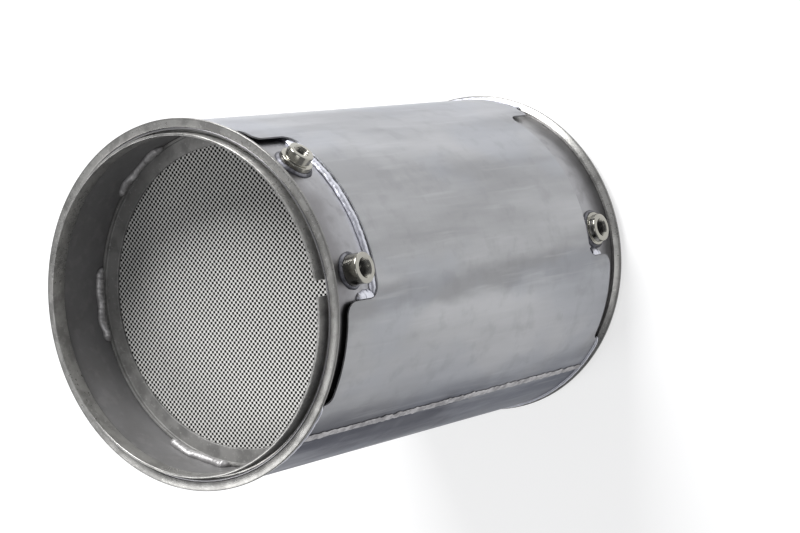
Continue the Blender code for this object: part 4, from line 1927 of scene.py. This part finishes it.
class CellTree(SizedTree):
    """Geometry nodes that lay open and plugged channels over a block's face."""

    NAME = "honeycomb_face"
    SIZES = ("Cell pitch", "Wall", "Open depth", "Plug recess", "Face radius", "Parity")
    GRID_SHIFT = 500.0
    MERGE_DISTANCE = 0.00002

    def __init__(self, cells: int) -> None:
        """Build the tree.

        Args:
            cells: How many cells there are across the face.
        """
        self.cells = cells
        super().__init__()

    def _grid(self, graph: NodeGraph, side: Number, count: int) -> bpy.types.NodeSocket:
        """A flat square grid.

        Args:
            graph: The tree's graph.
            side: Length of its side.
            count: Points along each side.

        Returns:
            The grid's geometry.
        """
        values = {"Size X": side, "Size Y": side, "Vertices X": count, "Vertices Y": count}
        return graph.add("GeometryNodeMeshGrid", None, values).outputs[0]

    def _fill(self, graph: NodeGraph, entry: bpy.types.Node) -> bpy.types.NodeSocket:
        """Add the nodes.

        Args:
            graph: The tree's graph.
            entry: The tree's input node.

        Returns:
            The face with its channels.
        """
        pitch = graph.number(entry, "Cell pitch")
        grid = self._grid(graph, pitch * float(self.cells - 1), self.cells)
        position = graph.add("GeometryNodeInputPosition").outputs[0]
        parts = graph.add("ShaderNodeSeparateXYZ", None, {0: position})
        x, y = graph.number(parts, 0), graph.number(parts, 1)
        column, row = ((part / pitch + self.GRID_SHIFT).apply("ROUND") for part in (x, y))
        parity = (column + row + graph.number(entry, "Parity")).apply("FLOORED_MODULO", 2.0)
        within = ((x * x + y * y) ** 0.5).below(graph.number(entry, "Face radius"))
        opened = parity.below(0.5)
        joined = graph.add("GeometryNodeJoinGeometry")
        for chosen, depth in ((opened, "Open depth"), (1.0 - opened, "Plug recess")):
            cell = self._cell(graph, entry, depth)
            values = {"Points": grid, "Selection": within * chosen, "Instance": cell}
            laid = graph.add("GeometryNodeInstanceOnPoints", None, values)
            graph.tree.links.new(laid.outputs[0], joined.inputs[0])
        real = graph.add("GeometryNodeRealizeInstances", None, {0: joined.outputs[0]})
        values = {"Geometry": real.outputs[0], "Distance": self.MERGE_DISTANCE}
        return graph.add("GeometryNodeMergeByDistance", None, values).outputs[0]

    def _cell(self, graph: NodeGraph, entry: bpy.types.Node, depth: str) -> bpy.types.NodeSocket:
        """One cell: the wall tops round a square pit.

        Args:
            graph: The tree's graph.
            entry: The tree's input node.
            depth: Name of the input that holds the pit's depth.

        Returns:
            The cell's geometry.
        """
        pitch = graph.number(entry, "Cell pitch")
        values = {"Mesh": self._grid(graph, pitch, 2), "Offset Scale": 0.0}
        rim = graph.add("GeometryNodeExtrudeMesh", {"mode": "FACES"}, values)
        mouth = (pitch - graph.number(entry, "Wall")) / pitch
        values = {"Geometry": rim.outputs[0], "Selection": rim.outputs["Top"], "Scale": mouth}
        inset = graph.add("GeometryNodeScaleElements", {"domain": "FACE"}, values)
        values = {
            "Mesh": inset.outputs[0],
            "Selection": rim.outputs["Top"],
            "Offset Scale": graph.number(entry, depth) * -1.0,
        }
        return graph.add("GeometryNodeExtrudeMesh", {"mode": "FACES"}, values).outputs[0]

    def face(
        self, name: str, sizes: dict[str, float], finish: bpy.types.Material
    ) -> bpy.types.Object:
        """Lay one face at z = 0, looking up.

        Args:
            name: The object's name.
            sizes: A value for each named size.
            finish: The ceramic's material.

        Returns:
            The face as a plain mesh.
        """
        item = bpy.data.objects.new(name, bpy.data.meshes.new(name))
        bpy.context.collection.objects.link(item)
        self.run_on(item, sizes, finish)
        return item


@dataclass
class FilterBlock:
    """The ceramic block, as two halves that meet at its middle."""

    sizes: CanisterSizes
    ceramic: bpy.types.Material
    cell_pitch: float = 0.00246
    cell_wall: float = 0.00026
    open_depth: float = 0.0070
    plug_recess: float = 0.00005
    grid_azimuth: float = 19.7
    under_ring: float = 0.75
    spare_cells: int = 3
    rim_steps: int = 120

    def build(self) -> None:
        """Make both halves with their channels."""
        face_radius = self.sizes.ring_inner + self.under_ring * self.cell_pitch
        tree = CellTree(2 * math.ceil(face_radius / self.cell_pitch) + self.spare_cells)
        faces = (self.sizes.block_top, self.sizes.block_bottom)
        values = (self.cell_pitch, self.cell_wall, self.open_depth, self.plug_recess, face_radius)
        for parity, (end, face_z) in enumerate(zip(self.sizes.ends, faces)):
            lengths = dict(zip(CellTree.SIZES, (*values, float(parity))))
            half = tree.face(end.node("block_half"), lengths, self.ceramic)
            self._close(half, end, face_z, 0.5 * sum(faces))
            dress(half, self.ceramic, ["filter_block"])

    def _close(
        self, half: bpy.types.Object, end: CanisterEnd, face_z: float, middle: float
    ) -> None:
        """Add the face's rim, the side and the inner end, and move the half into place.

        Args:
            half: The face, at z = 0 and looking up.
            end: The canister's end.
            face_z: Height of the block's face.
            middle: Height where the halves meet.
        """
        bm = bmesh.new()
        bm.from_mesh(half.data)
        ragged = [edge for edge in bm.edges if edge.is_boundary]
        radius, depth = self.sizes.block_radius, -abs(face_z - middle)
        azimuths = [360.0 * k / self.rim_steps for k in range(self.rim_steps)]
        rim = [bm.verts.new(polar(radius, azimuth, 0.0)) for azimuth in azimuths]
        ring = [bm.edges.new(pair) for pair in zip(rim, rim[1:] + rim[:1])]
        bmesh.ops.triangle_fill(bm, edges=ragged + ring, use_dissolve=False)
        low = [bm.verts.new(polar(radius, azimuth, depth)) for azimuth in azimuths]
        for i in range(self.rim_steps):
            j = (i + 1) % self.rim_steps
            bm.faces.new((rim[j], rim[i], low[i], low[j]))
        bm.faces.new(list(reversed(low)))
        turn = Matrix.Rotation(math.radians(-end.inward * self.grid_azimuth), 4, "Z")
        flip = Matrix.Rotation(math.pi if end.inward > 0 else 0.0, 4, "X")
        lift = Matrix.Translation((0.0, 0.0, face_z))
        bm.transform(lift @ flip @ turn)
        bmesh.ops.recalc_face_normals(bm, faces=bm.faces)
        bm.to_mesh(half.data)
        bm.free()
        half.data.shade_flat()


@dataclass(frozen=True)
class Softbox:
    """A square area lamp: where it hangs, what it faces, its side in metres and its watts."""

    name: str
    place: Point3
    aim: Point3
    size: float
    power: float

    def hang(self) -> None:
        """Add the lamp to the scene."""
        lamp = bpy.data.lights.new(self.name, "AREA")
        lamp.shape = "SQUARE"
        lamp.size = self.size
        lamp.energy = self.power
        item = bpy.data.objects.new(self.name, lamp)
        item.location = self.place
        facing = Vector(self.aim) - Vector(self.place)
        item.rotation_euler = facing.to_track_quat("-Z", "Y").to_euler()
        bpy.context.collection.objects.link(item)


@dataclass
class Studio:
    """Floor, lamps, surroundings and camera."""

    camera_place: Point3 = (1.2358, 0.5397, 2.0883)
    camera_right: Point3 = (0.80798, 0.16382, -0.56594)
    camera_up: Point3 = (-0.26387, 0.95947, -0.09897)
    lens: float = 104.25
    sensor_width: float = 36.0
    clip: tuple[float, float] = (0.05, 100.0)
    floor_reach: float = 30.0
    floor_shade: float = 0.80
    floor_glow: float = 1.30
    floor_glow_share: float = 0.50
    sky: Colour = (0.27, 0.275, 0.29)
    lamps: tuple[Softbox, ...] = (
        Softbox("key_lamp", (-0.95, 1.85, 1.75), (0.0, 0.0, 0.25), 1.3, 112.0),
        Softbox("flange_lamp", (-1.16, -1.38, 2.50), (0.0, 0.0, 0.5), 0.9, 17.0),
        Softbox("mouth_lamp", (1.05, -0.2, 2.9), (0.0, 0.0, 0.45), 1.4, 13.0),
    )

    def build(self) -> None:
        """Set up everything that isn't part of the canister."""
        self._floor()
        self._sky()
        for lamp in self.lamps:
            lamp.hang()
        self._camera()
        bpy.context.scene.view_settings.view_transform = "Standard"

    def _floor(self) -> None:
        """Plain pale floor that shows white and keeps the canister's shadow."""
        reach = self.floor_reach
        bm = bmesh.new()
        corners = [(-reach, -reach), (reach, -reach), (reach, reach), (-reach, reach)]
        bm.faces.new([bm.verts.new((x, y, 0.0)) for x, y in corners])
        floor = as_object("studio_floor", bm)
        material = bpy.data.materials.new("floor_white")
        material.use_nodes = True
        material.node_tree.nodes.clear()
        graph = NodeGraph(material.node_tree)
        shade = opaque(times(WHITE, self.floor_shade))
        matt = graph.add("ShaderNodeBsdfDiffuse", None, {"Color": shade})
        values = {"Color": opaque(WHITE), "Strength": self.floor_glow}
        glow = graph.add("ShaderNodeEmission", None, values)
        path = graph.add("ShaderNodeLightPath")
        seen = graph.number(path, "Is Camera Ray")
        for kind in ("Is Glossy Ray", "Is Transmission Ray"):
            seen = seen.apply("MAXIMUM", graph.number(path, kind))
        values = {0: seen * self.floor_glow_share, 1: matt.outputs[0], 2: glow.outputs[0]}
        mixed = graph.add("ShaderNodeMixShader", None, values)
        graph.add("ShaderNodeOutputMaterial", None, {"Surface": mixed.outputs[0]})
        floor.data.materials.append(material)

    def _sky(self) -> None:
        """Even grey surroundings."""
        world = bpy.data.worlds.new("studio_room")
        world.use_nodes = True
        backdrop = world.node_tree.nodes["Background"]
        backdrop.inputs["Color"].default_value = opaque(self.sky)
        backdrop.inputs["Strength"].default_value = 1.0
        bpy.context.scene.world = world

    def _camera(self) -> None:
        """Camera at the photograph's viewing angle."""
        data = bpy.data.cameras.new("photo_camera")
        data.lens = self.lens
        data.sensor_width = self.sensor_width
        data.sensor_fit = "HORIZONTAL"
        data.clip_start, data.clip_end = self.clip
        item = bpy.data.objects.new("photo_camera", data)
        right, up = Vector(self.camera_right).normalized(), Vector(self.camera_up).normalized()
        back = right.cross(up).normalized()
        turn = Matrix((right, up, back)).transposed().to_4x4()
        item.matrix_world = Matrix.Translation(self.camera_place) @ turn
        bpy.context.collection.objects.link(item)
        bpy.context.scene.camera = item


SHIELD_STEEL = ShieldFinish(
    "shield_steel",
    (0.395, 0.397, 0.405),
    0.36,
    Grain.ROLLED,
    metallic=0.70,
    edge_tint=(0.62, 0.63, 0.67),
)
PIPE_STEEL = PipeFinish("pipe_steel", (0.33, 0.33, 0.345), 0.36, cloud=0.3, dent=0.07)
INNER_RING_STEEL = ForgedFinish(
    "inner_ring_steel", (0.205, 0.202, 0.195), 0.55, cloud=0.5, dent=0.04, metallic=0.25
)
RING_STEEL = ForgedFinish(
    "ring_steel", (0.33, 0.325, 0.312), 0.29, cloud=0.35, dent=0.035, metallic=0.65
)
BOSS_STEEL = BossFinish("boss_steel", (0.34, 0.33, 0.295), 0.19, cloud=0.08, dent=0.03)
CAN_STEEL = SteelFinish("can_steel", (0.42, 0.42, 0.42), 0.42, Grain.TURNED)
WELD_METAL = WeldFinish("weld_metal", (0.74, 0.75, 0.81), (0.40, 0.40, 0.45), patchiness=0.3)
SEAM_METAL = WeldFinish("seam_metal", (0.56, 0.55, 0.56), (0.17, 0.165, 0.175), 0.46)
BOSS_BEAD_METAL = WeldFinish(
    "boss_bead_metal", (0.27, 0.27, 0.295), (0.07, 0.07, 0.08), 0.50, patchiness=0.85
)
TACK_METAL = WeldFinish(
    "tack_metal", (0.52, 0.51, 0.51), (0.20, 0.195, 0.195), 0.48, patchiness=0.5, metallic=0.5
)
FIBRE_MAT = FibreFinish("fibre_mat", (0.78, 0.75, 0.68))
# Plug, wall and painted channel shadow colours of the ceramic.
CERAMIC_COLOURS = ((0.61, 0.605, 0.59), (0.30, 0.295, 0.28), (0.010, 0.010, 0.009))


def repaint(nodes: Sequence[str], material: bpy.types.Material, packed: dict[str, Any]) -> None:
    """Give carried-over solids their finish.

    Args:
        nodes: Their names.
        material: The finish.
        packed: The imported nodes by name.
    """
    for name in nodes:
        solid = packed[name]
        solid.data.materials.clear()
        solid.data.materials.append(material)
        LOG.info("%s: carried over", name)


def main(frame: dict[str, Any]) -> None:
    """Build the dressed canister and its studio.

    Args:
        frame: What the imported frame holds.
    """
    logging.basicConfig(level=logging.INFO, format="%(message)s")
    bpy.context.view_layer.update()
    sizes = CanisterSizes.from_frame()
    shield = HeatShield(sizes, SHIELD_STEEL.material())
    beads = [finish.material() for finish in (WELD_METAL, SEAM_METAL, TACK_METAL)]
    welds = CanisterWelds(sizes, shield, RippleTree(), *beads)
    bosses = SensorBosses(sizes, BOSS_STEEL.material(), BOSS_BEAD_METAL.material(), welds)
    steels = [finish.material() for finish in (PIPE_STEEL, RING_STEEL, INNER_RING_STEEL)]
    shield.build()
    EndRings(sizes, *steels, bosses.bores()).build()
    welds.build()
    bosses.build()
    ceramic = CeramicFinish("ceramic", *CERAMIC_COLOURS, sizes.block_top, sizes.block_bottom)
    FilterBlock(sizes, ceramic.material()).build()
    repaint(["filter_can"], CAN_STEEL.material(), frame["nodes"])
    repaint(["support_mat", "insulation_blanket"], FIBRE_MAT.material(), frame["nodes"])
    Studio().build()


if __name__ == "__main__":
    main(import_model())
